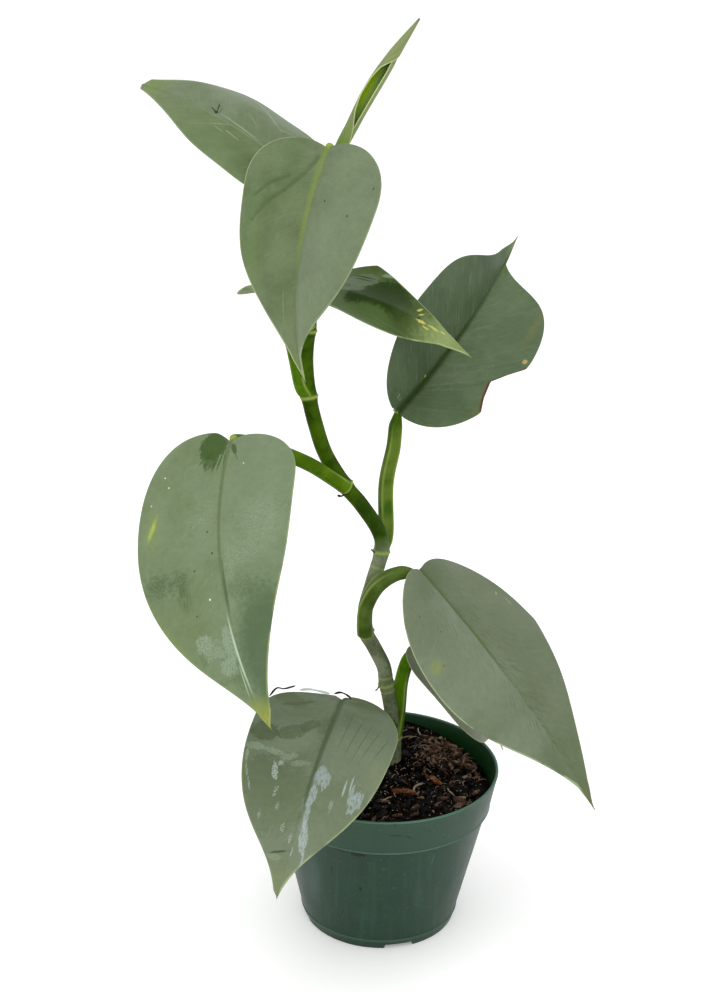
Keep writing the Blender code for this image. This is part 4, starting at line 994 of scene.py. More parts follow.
LEAVES = [
    Leaf(
        "leaf_top_front", base=(-29.7, -8.0, 360.0), heading=-125.3, pitch=-55.2, roll=-1.9,
        arch=60.3, sickle=-8.4, twist=14.1, fold=21, curl=(-32, -35),
        length=102.4, half_width=34.5, left_share=1.02, widest=(0.18, 0.215),
        lobe_out=0.26, lobe_back=(1.6, 1.5), tip_length=13.9, tip_width=(4.0, 1.5), fullness=(0.64, 0.56),
        stalk=((-35.0, 2.0, 304.0), (-29.5, -1.5, 318.0), (-27.0, -1.5, 338.0), (-27.5, -3.5, 353.0)),
    ),
    Leaf(
        "leaf_top_left", base=(-38.0, 20.0, 341.4), heading=164.6, pitch=37.8, roll=-32.1,
        arch=33.7, sickle=-0.3, twist=-0.8, fold=9, curl=(-41, -10),
        length=92.2, half_width=25.9, left_share=0.96, widest=(0.29, 0.265),
        lobe_out=0.30, lobe_back=(4, 2), tip_length=2, tip_width=(5.0, 3.2), fullness=(0.75, 0.47),
        stalk=((-37.3, 2.5, 283.0), (-41.5, 0.0, 295.0), (-43.5, 3.0, 310.0), (-42.5, 10.0, 325.0),
               (-39.5, 17.5, 337.0)),
    ),
    Leaf(
        "leaf_right_upper", base=(2.3, 32.3, 238.1), heading=42.4, pitch=33.9, roll=59.2,
        arch=17.7, sickle=11.2, twist=-0.9, fold=36, curl=(9, -11),
        length=121.7, half_width=37.9, left_share=0.90, widest=(0.385, 0.36),
        lobe_out=0.13, lobe_back=(0.9, 1.4), tip_length=20.8, tip_width=(0.9, 7.9), fullness=(0.79, 0.68),
        stalk=((-3.4, 9.0, 180.0), (-1.6, 14.2, 187.0), (-2.1, 19.4, 207.8), (0.9, 27.0, 223.1),
               (1.8, 31.4, 232.3)),
        bite=((19.1, 32.5), (25.2, 29.4), (34.5, 26.8), (41.2, 31.9), (47.4, 38.1)),
    ),
    Leaf(
        "leaf_lower_right", base=(13.5, -6.0, 177.0), heading=-24.6, pitch=-41.1, roll=-7.7,
        arch=10.1, sickle=-6.2, twist=28.8, fold=7, curl=(-35, -7),
        length=130.2, half_width=41.8, left_share=1.04, widest=(0.305, 0.375),
        lobe_out=0.18, lobe_back=(2.1, 0.7), tip_length=11.9, tip_width=(1.5, 4.5), fullness=(0.46, 0.08),
        stalk=((-9.5, 3.0, 141.0), (-10.1, -1.0, 150.0), (-9.3, -2.5, 158.0), (-4.2, -4.5, 168.3),
               (4.5, -6.0, 175.0)),
    ),
    Leaf(
        "leaf_behind_stem", base=(-56.0, 49.7, 290.7), heading=-23.7, pitch=14.4, roll=-9.5,
        arch=59, sickle=8.1, twist=41.4, fold=-22.4, curl=(62.0, 44.2),
        length=102.8, half_width=30.2, left_share=1.14, widest=(0.415, 0.375),
        lobe_out=0.355, lobe_back=(10.7, 13.2), tip_length=16, tip_width=(4.6, 4.6), fullness=(0.21, 0.01),
        stalk=((-36.6, 2.0, 253.5), (-39.3, 2.0, 258.0), (-41.7, 6.0, 267.1), (-43.9, 14.0, 272.6),
               (-47.1, 25.0, 276.6), (-51.3, 36.0, 281.1), (-55.0, 45.0, 286.0)),
    ),
    Leaf(
        "leaf_middle_left", base=(-68.5, -22.0, 239.6), heading=-103.8, pitch=-41.5, roll=16.2,
        arch=44, sickle=24.6, twist=-1.2, fold=3, curl=(-5, 1),
        length=127.1, half_width=39.0, left_share=0.92, widest=(0.305, 0.175),
        lobe_out=0.25, lobe_back=(4.4, 2.3), tip_length=8.7, tip_width=(1.9, 4.2), fullness=(0.57, 0.45),
        stalk=((-20.0, 3.0, 211.7), (-25.6, -2.0, 217.4), (-36.3, -9.0, 226.3), (-52.0, -13.0, 234.0),
               (-64.0, -17.0, 239.0)),
    ),
    Leaf(
        "leaf_lower_front", base=(-19.0, -20.0, 119.0), heading=-103, pitch=-6, roll=-1.6,
        arch=33.4, sickle=-2.3, twist=7.4, fold=-1, curl=(13, -19),
        length=108.2, half_width=34.0, left_share=0.88, widest=(0.20, 0.21),
        lobe_out=0.13, lobe_back=(2.5, 3.4), tip_length=3.7, tip_width=(2.4, 0.9), fullness=(0.67, 0.70),
        stalk=((4.3, 11.5, 91.0), (-1.5, 3.5, 96.0), (-10.0, -7.0, 106.0), (-16.5, -15.0, 114.5)),
    ),
    Leaf(
        "leaf_lower_back", base=(14.8, 16.5, 130.0), heading=20, pitch=-40.7, roll=33.9,
        arch=31.8, sickle=3.0, twist=9.3, fold=9, curl=(-1, -10),
        length=94.3, half_width=29.1, left_share=0.73, widest=(0.31, 0.30),
        lobe_out=0.42, lobe_back=(8.5, 5), tip_length=17.3, tip_width=(2.1, 2.5), fullness=(0.61, 0.61),
        stalk=((5.2, 12.2, 83.5), (6.9, 14.0, 97.0), (7.7, 14.7, 110.8), (9.8, 15.7, 120.3),
               (12.8, 16.0, 127.0)),
    ),
]
by_name = {leaf.name: leaf for leaf in LEAVES}
lengths = [leaf.length for leaf in LEAVES]
print(len(LEAVES), "open leaves,", min(lengths), "to", max(lengths), "mm")

# %% [markdown]
# The two top leaves are clean and soft. The front one has two shallow folds in its right half, darkened
# along their troughs with painted shade, a left half whose greyer, lighter greens are partly painted
# sheen, a yellow-green midrib that fades out, a pale line along part of its margin and a few specks. The
# one behind it to the left shows pale veins and has a scrap of dry matter lying on it.

# %% Looks of the top leaves
leaf = by_name["leaf_top_front"]
# the left half's greens are greyer and lighter partly from the leaf's own tone and partly as painted sheen
leaf.right, leaf.left = ("#4F5F3B", "#5C6C4A"), ("#5B694D", "#647354")
leaf.midrib, leaf.veins, leaf.margin = ("#6C7D3C", 2.0, 0.62), ("#6C7B5C", 0.08), ("#A1AE80", 0.85, 0.35)
leaf.knuckle = (0.9, -1.6)
leaf.creases = (
    (((25.9, 34.8), (20.1, 27.2), (12.6, 21), (5.8, 12.7), (2.3, 5.1)), 1.3, 0.7),
    (((27, 25.2), (20.1, 18.9), (12.1, 14.8)), 1.1, 0.5),
)
leaf.marks = [
    Mark((24, 58), (7, 30), "#627944", 0.45, soft=0.9, ragged=0.1),
    *alike(
        ("#69765C", -24, 30, 12, 26, 0.4), ("#66724F", 10, 44, 8, 14, 0.4),
        ("#4B6034", 14, 8, 9, 4, 0.4, 70), ("#4C6535", 29, 30, 3.4, 9, 0.5),
        ("#66744F", 8, 26, 7, 5, 0.4, -60), soft=0.9,
    ),
    Mark((-14, 44), (10, 16), "#707C64", 0.35, soft=0.9, ragged=0.4),
    *alike(
        ("#6D7961", -4, 66, 4, 18, 0.4), ("#7A8C62", 5.6, 68.0, 0.4, 9.0, 0.4),
        ("#7A8C62", 7.2, 80.0, 0.4, 5.0, 0.4), ("#7A8C62", -5.0, 74.0, 0.4, 12.0, 0.35, 4), soft=0.8,
    ),
    Mark((-1.2, 12.0), (1.6, 1.3), "#4C5B2C", 0.6, soft=0.4, holes=0.35),
    *alike(
        ("#7C8A4A", -0.8, 12.0, 0.8, 0.6, 0.7), ("#1C2612", -9.8, 22.4, 0.45, 0.45, 0.9),
        ("#2A3620", -23.6, 26.5, 0.45, 0.5, 0.9), ("#2E3B20", -31.0, 14.8, 0.4, 0.7),
        ("#54633C", -28.5, 10.5, 0.3, 1.2, 0.7), ("#7C8A6A", -12.0, 60.0, 0.5, 1.8, 0.3),
    ),
    Mark((-1.0, 97.0), (0.6, 2.4), "#D2D6B4", 0.95, turn=-40, soft=0.4),
    Mark((0, 78), (13, 17), "#6C7B55", 0.55, soft=0.9),
]
leaf = by_name["leaf_top_left"]
leaf.right, leaf.left = ("#5C6A4C", "#66735A"), ("#53653D", "#5E6F48")
leaf.midrib, leaf.veins, leaf.margin = ("#6C7C56", 0.6, 0.95), ("#6F7F62", 0.15), ("#8C9A78", 0.6, 0.3)
leaf.tip, leaf.green = "#66783F", ("#3B5D00", "#5B7626")
leaf.marks = [
    Mark((21, 45), (5, 38), "#707C66", 0.6, soft=0.5, ragged=0.1),
    *alike(
        ("#4C5F36", -12, 30, 8, 18, 0.4), ("#47592F", -11.7, 24.6, 3.0, 10, 0.4),
        ("#596C42", -16, 46, 7, 12, 0.4), soft=0.9,
    ),
    *alike(
        ("#10160A", 1.9, 52.4, 0.9, 1.0, 0.95), ("#8B9980", 17.0, 33.6, 0.35, 9.5, 0.6, 26),
        ("#86956F", -3.8, 46.6, 0.3, 4.6, 0.55, -42), ragged=0.5,
    ),
    *alike(
        ("#1E2815", 4.6, 53.2, 0.35, 3.2, 0.9, 64), ("#1E2815", 2.4, 54.0, 0.35, 2.0, 0.9, 16),
        ("#39452A", 3.4, 51.2, 0.3, 1.8, 0.7, 80), ("#8B9980", 23.0, 47.5, 0.35, 8, 0.5, 22),
        ("#8B9980", 14.4, 23.6, 0.3, 3.4, 0.5, -20), ("#86956F", -6.6, 45, 0.3, 3.0, 0.5, 4),
        ("#7F8E70", 9.0, 38, 0.3, 5, 0.4, 30),
    ),
    Mark((-5.6, 38.6), (0.35, 4.6), "#86956F", 0.6, turn=12, ragged=0.6),
    Mark((1.5, 39), (0.4, 12), "#86956F", 0.6, turn=4, ragged=0.5),
    Mark((1.3, 89.4), (0.7, 1.0), "#98982E", soft=0.6), Mark((2.6, 90.4), (1.8, 0.5), "#1A2010"),
    Mark((-1.6, 90.6), (0.8, 1.0), "#20280F", 0.7),
]
print(sum(len(leaf.marks) for leaf in LEAVES), "marks so far")

# %% [markdown]
# The leaf on the right is turned away from the light, and its greens are painted darker as painted shade,
# so it is the darkest: a broad dark midrib, faint pale streaks along its veins, a tan spot, and brown dead
# tissue along the torn edge. The leaf behind the stem is half wet: near the stem a film of hard water lies
# on it with a ragged border, its grey partly a painted reflection, then comes a dark glossy stretch whose
# darkness is partly the wet green and partly a painted reflection of dark surroundings, and towards the
# tip it turns pale and yellow.

# %% Looks of the two leaves behind
leaf = by_name["leaf_right_upper"]
# its greens are painted darker than the other leaves': painted shade of a leaf turned away from the light
leaf.right, leaf.left = ("#4A5C3D", "#566749"), ("#3D4E34", "#47583C")
leaf.midrib, leaf.veins, leaf.margin = ("#253A06", 2.4, 0.72), ("#5C6E50", 0.08), ("#55633A", 0.6, 0.5)
leaf.tip, leaf.wrinkles, leaf.gloss, leaf.streaks = "#738251", 0.16, 0.3, 0.2
leaf.green, leaf.sheath = ("#35520A", "#566B24"), (0.6, 0.9)
leaf.marks = [
    *alike(
        ("#4F6044", 20, 60, 14, 26, 0.3), ("#4F5F42", 30, 80, 7, 26, 0.4), ("#35472A", -14, 96, 9, 14, 0.5),
        ("#57612F", 32.8, 19.6, 5, 8, 0.6), ("#596C50", 16, 12, 14, 9, 0.4, 50),
        ("#6A6A34", 29.7, 67.4, 2.2, 12, 0.4), soft=0.9,
    ),
    *alike(
        ("#6C7D60", 7.6, 22.8, 0.6, 9, 0.5, 52), ("#6C7D60", 10.5, 21.0, 0.5, 8, 0.45, 56),
        ("#66765A", 12, 9, 0.5, 9, 0.5, 66), streaks=True, holes=0.4,
    ),
    Mark((19, 38.2), (0.7, 7), "#6C7D60", 0.5, turn=42, streaks=True, holes=0.5),
    Mark((35, 50), (1.3, 1.3), "#A3905C", 0.95, soft=0.25), Mark((-1.9, 22.0), (0.6, 0.7), "#C9BE60", 0.95),
    Mark((27, 85), (0.5, 1.0), "#8B9A7C", 0.6),
    Mark((-2.2, 19.5), (0.9, 1.4), "#6E7A30", 0.6, soft=0.6, holes=0.3),
    Mark((-6.0, 4.0), (2.8, 1.2), "#9CAE94", 0.7, ragged=0.5, holes=0.6),
    Mark((0.6, 118.5), (1.2, 2.4), "#33330F", 0.7, soft=0.6),
    Mark((1.0, 106), (3, 12), "#5E6C34", 0.5, soft=0.9),
]
leaf = by_name["leaf_behind_stem"]
leaf.right, leaf.left = ("#44552A", "#50633A"), ("#3F5024", "#4A5C30")
leaf.midrib, leaf.veins, leaf.margin = ("#46583A", 0.8, 0.5), ("#4F6138", 0.25), ("#95A574", 0.9, 0.6)
leaf.tip, leaf.wrinkles, leaf.gloss, leaf.bloom = "#6C7D45", 0.2, 0.07, 0.0
leaf.green = "#2A4E00", "#4A6C08"
leaf.marks = [
    # the grey film near the stem and the dark stretch beyond it are partly painted reflections on the wet
    # blade
    Mark((0, 16), (46, 20), "#4E5E42", 0.85, ragged=0.3, wet=0.2),
    Mark((-4, 52), (21, 16), "#1F3405", 0.96, turn=-6, soft=0.14),
    Mark((13, 54), (10, 14), "#4C6232", 0.85, ragged=0.3),
    Mark((-22, 36), (6.5, 8.5), "#57694C", 0.85, soft=0.12, ragged=0.4, wet=0.5, holes=0.1),
    Mark((-11, 37), (7, 4.5), "#50634A", soft=0.12, ragged=0.6, wet=0.4, holes=0.2),
    Mark((4, 36), (9, 2.8), "#4E6040", 0.7, ragged=0.6, wet=0.4, holes=0.25),
    Mark((-25.4, 35.5), (0.5, 7.5), "#13220A", 0.85, turn=14, soft=0.4),
    Mark((-23.0, 36.5), (0.4, 7), "#13220A", turn=14),
    Mark((-27.5, 47), (1.2, 4), "#7C8E78", 0.7, ragged=0.5, wet=0.4),
    Mark((23, 58), (3.0, 26), "#64735A", 0.7, soft=0.7),
    Mark((2, 66), (22, 6), "#3A4C22", 0.6, soft=0.9, ragged=0.4),
    Mark((0, 98), (44, 23), "#8A9A62", 0.85, soft=0.55, wet=0.1),
    Mark((16, 60), (0.4, 16), "#59693F", 0.6, ragged=0.4),
    Mark((12, 64), (0.4, 14), "#59693F", 0.5, ragged=0.4),
    Mark((-9.5, 70.6), (2.2, 0.8), "#C2BE66", 0.95, turn=20, soft=0.6, ragged=0.6, holes=0.2),
    Mark((0.2, 74.5), (1.0, 2.4), "#C2BE66", 0.95, soft=0.6, ragged=0.6, holes=0.2),
    Mark((-6.0, 72.6), (2.6, 0.7), "#C2BE66", 0.9, turn=20, soft=0.6, ragged=0.7, holes=0.3),
    Mark((-0.4, 80.5), (0.8, 3.4), "#C2BE66", 0.95, soft=0.6, ragged=0.7, holes=0.3),
    Mark((-1.6, 85), (0.6, 1.6), "#C2BE66", 0.9, soft=0.6, ragged=0.7),
    Mark((1.8, 77.4), (0.5, 1.6), "#B6B25A", ragged=0.6),
    Mark((-1.2, 72.6), (1.0, 0.7), "#101A06", 0.9, soft=0.5),
    Mark((0, 99.5), (2.0, 1.4), "#33400F", 0.7, soft=0.6),
]
print(sum(len(leaf.marks) for leaf in LEAVES), "marks so far")

# %% [markdown]
# The left leaf has a wet dark patch in its notch, a yellow fleck, dark rubbed smudges, a grey crust of
# hard water near the tip whose grey is partly a painted reflection on the wet patch, and a margin that
# yellows. The right one is even and matt, with fine wrinkles fanning out from its midrib, drawn as dark
# lines of painted shade.

# %% Looks of the middle leaves
leaf = by_name["leaf_middle_left"]
leaf.right, leaf.left = ("#61714E", "#69795A"), ("#657556", "#6C7C5E")
leaf.midrib, leaf.veins, leaf.margin = ("#526238", 1.0, 0.7), ("#6F7E60", 0.05), ("#8E9E62", 0.25, 0.6)
leaf.tip, leaf.wrinkles, leaf.green, leaf.sheath = "#7C8634", 0.1, ("#3A5600", "#4C6A06"), (0.1, 0.3)
leaf.neck, leaf.knuckle = 17.0, (0.5, -1.0)
leaf.marks = [
    Mark((-20, 38), (13, 10), "#82917A", 0.55, soft=0.9, ragged=0.9, holes=0.35),
    Mark((-12, 22), (16, 14), "#6A7A5A", 0.4, soft=0.9),
    Mark((-12, 52), (11, 6), "#82917A", 0.5, soft=0.7, ragged=0.9, holes=0.4),
    Mark((8, 36), (8, 10), "#7B8A6E", 0.45, soft=0.8, ragged=0.9, holes=0.35),
    Mark((18, 82), (13, 20), "#5D6D42", 0.35, turn=-14, soft=0.9),
    Mark((24, 92), (3.5, 24), "#778640", 0.5, turn=-22, soft=0.9),
    Mark((7.4, 2.4), (6.6, 7.4), "#2F4A0C", 0.92, soft=0.12, ragged=0.35, wet=0.4),
    Mark((7.6, 9.6), (3.4, 4.2), "#2F4A0C", 0.85, ragged=0.7, wet=0.3, streaks=True, holes=0.2),
    *alike(
        ("#2F4A0C", 4.6, 11, 0.6, 4.2, 0.85, 14), ("#2F4A0C", 2.6, 10, 0.5, 4.0, 0.8, 8),
        ("#2F4A0C", 10.8, 9, 0.5, 3.6, 0.7, 36), ("#2F4A0C", 0.8, 8.5, 0.4, 3.6, 0.7), ragged=0.5,
    ),
    Mark((-3.0, 4.2), (1.3, 3.4), "#2F4A0C", 0.85, turn=-28, ragged=0.5, wet=0.3),
    Mark((-4.6, 7.4), (0.4, 3.0), "#3A5424", 0.6, turn=-34, ragged=0.5),
    Mark((31.8, 36.6), (1.2, 4.6), "#A9B14E", 0.9, turn=22, soft=0.8, ragged=0.4),
    Mark((31.8, 37), (3.6, 9), "#76873F", 0.4, soft=0.9),
    Mark((29, 59.0), (7.0, 5.4), "#40542F", 0.7, soft=0.7, ragged=0.8, holes=0.2),
    Mark((19, 59), (5.4, 4.4), "#40542F", 0.65, soft=0.7, ragged=0.8, holes=0.25),
    Mark((18.0, 65.5), (3.0, 5.6), "#40542F", 0.7, soft=0.7, ragged=0.8, streaks=True, holes=0.25),
    Mark((-16, 98), (17, 33), "#44593A", 0.85, turn=6, soft=0.4),
    Mark((-9, 67), (9, 4.5), "#4F623F", 0.65, soft=0.5, ragged=0.7, holes=0.3),
    Mark((-18, 73), (9, 5), "#4F623F", 0.6, soft=0.6, ragged=0.7, holes=0.3),
    Mark((-1.0, 66), (0.9, 13), "#38492A", 0.75, soft=0.7, ragged=0.2),
    Mark((-4.4, 57), (3.0, 7), "#7E8E74", 0.45, soft=0.6, ragged=0.6, holes=0.4),
    # the grey crust near the tip: hard water, its grey partly a painted reflection on the wet patch
    Mark((13.0, 85.6), (3.8, 4.2), "#7C8C75", 0.9, soft=0.08, ragged=0.7, wet=0.15, holes=0.28),
    Mark((10.0, 90.6), (4.8, 3.4), "#788870", 0.85, soft=0.08, ragged=0.7, wet=0.15, holes=0.32),
    Mark((2.6, 88.6), (2.8, 7.6), "#7C8C75", 0.9, soft=0.1, ragged=0.6, wet=0.15, holes=0.25),
    Mark((5.6, 96.8), (3.8, 4.2), "#7C8C75", 0.9, soft=0.08, ragged=0.7, wet=0.15, holes=0.28),
    Mark((8.0, 86.5), (2.2, 2.6), "#76866E", 0.7, ragged=0.8, holes=0.35),
    *alike(
        ("#46583A", 9.5, 93, 3.4, 1.4, 0.5), ("#465A38", 15.5, 91, 1.8, 2.6, 0.4),
        ("#46583A", 8, 101.5, 5.5, 1.6, 0.5), ragged=0.8, holes=0.4,
    ),
    Mark((3.4, 104), (2.6, 7), "#4B5D36", 0.5, soft=0.6, ragged=0.6, streaks=True, holes=0.3),
    Mark((0.3, 93.0), (0.5, 17.5), "#A5B49D", 0.9, soft=0.5, ragged=0.1, wet=0.2),
    *alike(
        ("#93A384", 1.6, 104, 0.3, 7, 0.8, 4), ("#E0E4D0", 6.5, 68.8, 0.4, 0.4, 0.95),
        ("#1C2812", 5.2, 41.0, 0.4, 0.5, 0.85), ("#26331A", 3.2, 50.3, 0.5, 0.5, 0.85),
        ("#1C2812", 11.7, 56.2, 0.4, 0.4, 0.85), ("#26331A", 13.6, 73.9, 0.4, 0.4),
        ("#26331A", 0.0, 22.4, 0.4, 0.5), ("#D6DCC0", 28, 15.6, 0.35, 0.35, 0.9),
        ("#D6DCC0", 25.4, 19.9, 0.5, 0.3), ("#D6DCC0", 33.2, 26.6, 0.35, 0.35, 0.7),
        ("#C8D0B4", -9.5, 12, 0.35, 0.4),
    ),
    Mark((0, 122), (6, 9), "#7F8830", 0.7, soft=0.9), Mark((-0.9, 120.8), (0.9, 2.0), "#B98A3C", soft=0.7),
    Mark((0, 125.9), (1.0, 1.0), "#2A2A08", 0.9, soft=0.5),
]
leaf = by_name["leaf_lower_right"]
leaf.right, leaf.left = ("#5F6A51", "#68735C"), ("#596449", "#606B52")
leaf.midrib, leaf.veins, leaf.margin = ("#3F5218", 1.4, 0.6), ("#55624A", 0.14), ("#96A37A", 0.8, 0.1)
# its fine wrinkles are drawn as dark lines of painted shade
leaf.tip, leaf.wrinkles = "#5B6240", 0.5
leaf.green, leaf.sheath = ("#3C5018", "#52672C"), (1.5, 0.8)
leaf.marks = [
    Mark((0, 4), (20, 12), "#455530", 0.75, soft=0.9),
    Mark((-6, 26), (9, 16), "#505F3E", 0.4, soft=0.9, ragged=0.5),
    *alike(
        ("#6E7962", 16, 52, 18, 24, 0.5), ("#5E6A52", -22, 60, 14, 26, 0.4),
        ("#53603F", 0, 112, 22, 22, 0.6), ("#4A593A", 7, 104, 6, 12, 0.4), soft=0.9,
    ),
    Mark((-34.6, 30.0), (1.4, 0.5), "#A0A880", 0.7, turn=-30, soft=0.5, ragged=0.6, holes=0.2),
    Mark((-37.4, 36.1), (0.5, 2.4), "#A0A880", 0.75, soft=0.5, ragged=0.7, holes=0.3),
    Mark((34.8, 37.8), (3.0, 2.8), "#7B8638", 0.5, soft=0.8, ragged=0.5, holes=0.3),
    Mark((34.1, 37.8), (4.4, 4.2), "#727F3E", 0.3, soft=0.5),
    *alike(
        ("#54401C", 30.8, 39.2, 0.35, 0.5), ("#2A3420", 26.5, 16, 0.4, 0.4),
        ("#333E28", 21, 27, 0.5, 0.5, 0.7), ("#3A4430", -3, 84, 0.4, 0.4, 0.6),
    ),
    Mark((36.5, 78), (2, 3), "#7A8640", 0.3, soft=0.8, holes=0.3),
    Mark((0.7, 126.7), (2.0, 4.5), "#55522C", 0.5, soft=0.8),
]
print(sum(len(leaf.marks) for leaf in LEAVES), "marks so far")

# %% [markdown]
# The lowest leaf in front has stood under the watering can: large damp areas with wandering borders,
# pale blue-grey streaks beside the midrib that are partly a crust of hard water and partly painted
# reflections of light on the water film, and dark side veins on its left half. The one behind is mostly
# hidden.

# %% Looks of the lowest leaves
leaf = by_name["leaf_lower_front"]
leaf.right, leaf.left = ("#636F55", "#6B7660"), ("#66725A", "#6E7963")
leaf.midrib, leaf.veins, leaf.margin = ("#3C4D2E", 1.5, 0.85), ("#48573A", 0.08), ("#8D9A70", 0.3, 0.85)
leaf.tip, leaf.wrinkles = "#6C7750", 0.22
leaf.marks = [
    Mark((14, 33), (13, 8), "#747F68", 0.7, turn=-35, soft=0.4, ragged=0.4),
    Mark((-16, 34), (15, 14), "#717C65", 0.6, soft=0.5, ragged=0.3),
    Mark((24, 6), (12, 5.5), "#55623F", 0.75, turn=30, ragged=0.5, wet=0.2),
    Mark((-14, -1), (16, 6.5), "#525F3F", 0.7, soft=0.5, ragged=0.4, wet=0.2),
    Mark((27, 31), (7, 5.5), "#4D5A3A", turn=10, soft=0.12, ragged=0.6, wet=0.2),
    Mark((15.5, 28), (7, 4.2), "#4F5C3D", 0.75, turn=-30, soft=0.15, ragged=0.6, wet=0.2, holes=0.1),
    Mark((9, 22), (5, 3), "#4A5838", 0.7, turn=-40, soft=0.2, ragged=0.6, wet=0.2, holes=0.1),
    Mark((18, 9), (1.2, 8), "#48563A", 0.7, turn=60, ragged=0.6),
    Mark((2, 20), (4, 8), "#3F4F2B", 0.5, soft=0.7, ragged=0.7, streaks=True, holes=0.25),
    Mark((-5, 13), (6, 6), "#4B5936", 0.5, soft=0.8, ragged=0.5, streaks=True, holes=0.2),
    Mark((20, 64), (15, 21), "#5A674B", 0.85, soft=0.1, ragged=0.4, wet=0.2),
    Mark((7, 64), (9, 17), "#5C694D", 0.75, soft=0.15, ragged=0.4, wet=0.2),
    Mark((-15, 68), (14, 20), "#616D51", 0.65, ragged=0.3, wet=0.1),
    # from here the pale grey and blue-grey marks are painted reflections of light on the water film, partly
    # a crust of hard water
    Mark((28.5, 40.5), (4.5, 2.2), "#84947E", 0.85, turn=-4, soft=0.1, ragged=0.7, wet=0.2, holes=0.2),
    Mark((20, 41), (4.5, 1.6), "#84947E", turn=10, soft=0.1, ragged=0.8, holes=0.25),
    Mark((13, 42.2), (4.0, 1.8), "#7F8F78", turn=-30, soft=0.1, ragged=0.8, holes=0.25),
    Mark((7, 45), (4.4, 1.8), "#7F8F78", 0.75, turn=-14, soft=0.1, ragged=0.8, holes=0.3),
    Mark((16.6, 50.8), (1.3, 4.8), "#98A69C", 0.95, turn=-14, soft=0.15, ragged=0.7, holes=0.25),
    Mark((15.2, 46.5), (1.4, 1.6), "#98A69C", 0.85, ragged=0.7, holes=0.25),
    Mark((30.4, 46), (0.7, 4), "#98A69C", 0.9, turn=-10, soft=0.2, ragged=0.7, streaks=True, holes=0.3),
    Mark((28.6, 53), (0.6, 4), "#98A69C", 0.85, turn=-22, soft=0.2, ragged=0.7, streaks=True, holes=0.35),
    Mark((25.4, 60), (0.5, 3.6), "#98A69C", 0.75, turn=-24, soft=0.2, ragged=0.7, streaks=True, holes=0.4),
    Mark((-3.4, 50), (2.6, 5.5), "#8E9B98", 0.92, soft=0.08, ragged=0.7, streaks=True, holes=0.22),
    Mark((-6.2, 53), (1.6, 5.0), "#8E9B98", 0.9, soft=0.08, ragged=0.7, streaks=True, holes=0.25),
    Mark((-2.6, 61), (1.9, 6.0), "#8E9B98", 0.92, soft=0.08, ragged=0.7, streaks=True, holes=0.25),
    Mark((-2.8, 71), (1.3, 6), "#8E9B98", 0.9, soft=0.1, ragged=0.7, streaks=True, holes=0.25),
    Mark((-20.6, 60), (2.6, 6.4), "#8E9B98", 0.92, turn=8, soft=0.1, ragged=0.7, streaks=True, holes=0.25),
    Mark((-4.2, 81), (1.8, 7.0), "#929F9B", 0.95, turn=-8, soft=0.08, ragged=0.6, streaks=True, holes=0.22),
    Mark((-6.2, 92), (0.45, 6), "#8E9A96", 0.85, ragged=0.4),
    Mark((0.2, 66), (0.7, 5), "#8E9B98", 0.7, ragged=0.7, streaks=True, holes=0.35),
    Mark((-18.2, 57), (1.3, 5.0), "#8E9B98", 0.85, soft=0.1, ragged=0.7, streaks=True, holes=0.3),
    Mark((-14.8, 54), (0.5, 4.5), "#98A49C", 0.9, ragged=0.6, streaks=True),
    Mark((-17.0, 51.5), (0.4, 4.5), "#98A49C", 0.85, ragged=0.5, streaks=True),
    Mark((-11.4, 64), (0.8, 4.0), "#8E9A96", 0.7, ragged=0.7, streaks=True, holes=0.4),
    Mark((-22.5, 69), (0.6, 3.4), "#98A49C", turn=14, ragged=0.5),
    *alike(
        ("#98A69C", 13.5, 61, 0.9, 3.0), ("#98A69C", 10.5, 68, 0.8, 2.4, 0.7),
        ("#98A69C", 5.7, 77.7, 0.9, 2.6, 0.7), ragged=0.8, holes=0.45,
    ),
    *alike(
        ("#98A69C", 1.1, 82.1, 0.6, 2.2, 0.7), ("#98A69C", -1.1, 87.9, 0.5, 2.4, 0.7),
        ("#8E9C90", 17, 73, 0.7, 2.2, 0.6), ragged=0.8, holes=0.4,
    ),
    Mark((4.6, 88.6), (3.4, 0.6), "#2C381E", turn=-14, ragged=0.7),
    Mark((5.4, 91), (3.4, 1.6), "#7E8C70", 0.6, ragged=0.7, holes=0.3),
    Mark((-22, 85), (2, 16), "#7C8950", 0.4, soft=0.8), Mark((-26, 44), (6, 10), "#757F5C", 0.4, soft=0.8),
    Mark((4, 102), (9, 10), "#5F6A48", 0.4, soft=0.9), Mark((30, 60), (3, 22), "#6A7646", 0.4, soft=0.9),
    *alike(  # the dark side veins
        ("#48573A", -7, 22, 0.28, 13, 0.6, 3), ("#48573A", -11.5, 24, 0.28, 15, 0.6, 6),
        ("#48573A", -15.5, 26, 0.28, 15, 0.6, 8), ("#48573A", -19.5, 26, 0.28, 13, 0.6, 11),
        ("#48573A", -24, 28, 0.28, 11, 0.6, 14), soft=0.6, ragged=0.3,
    ),
]
leaf = by_name["leaf_lower_back"]
leaf.right, leaf.left = ("#5E624A", "#686D54"), ("#5E624A", "#686D54")
leaf.margin, leaf.green, leaf.sheath = ("#8B9A70", 0.8, 0.4), ("#3B5D00", "#4F7A05"), (0.7, 0.8)
leaf.tip, leaf.dry_end, leaf.gloss = "#495539", 0.0, 0.15
print(sum(len(leaf.marks) for leaf in LEAVES), "marks in all")

# %% [markdown]
# The blade's surface. The outline gives the margin, and every side vein becomes one row of the grid: it
# leaves the midrib low down and runs out and forward to the margin, as these veins do. So the same rows
# that carry the shape also carry the vein pattern.

# %% Outline and bend
OUTLINE_STEPS = 40
NOTCH_HANDLE = (0.15, 0.8)
LOBE_HANDLE = 0.3
SIDE_HANDLE = (0.62, 0.6)
TAPER_HANDLE = (0.27, 0.3)
POINT_START_HANDLE = (0.3, 0.35)
POINT_END_HANDLE = (0.12, 0.4)


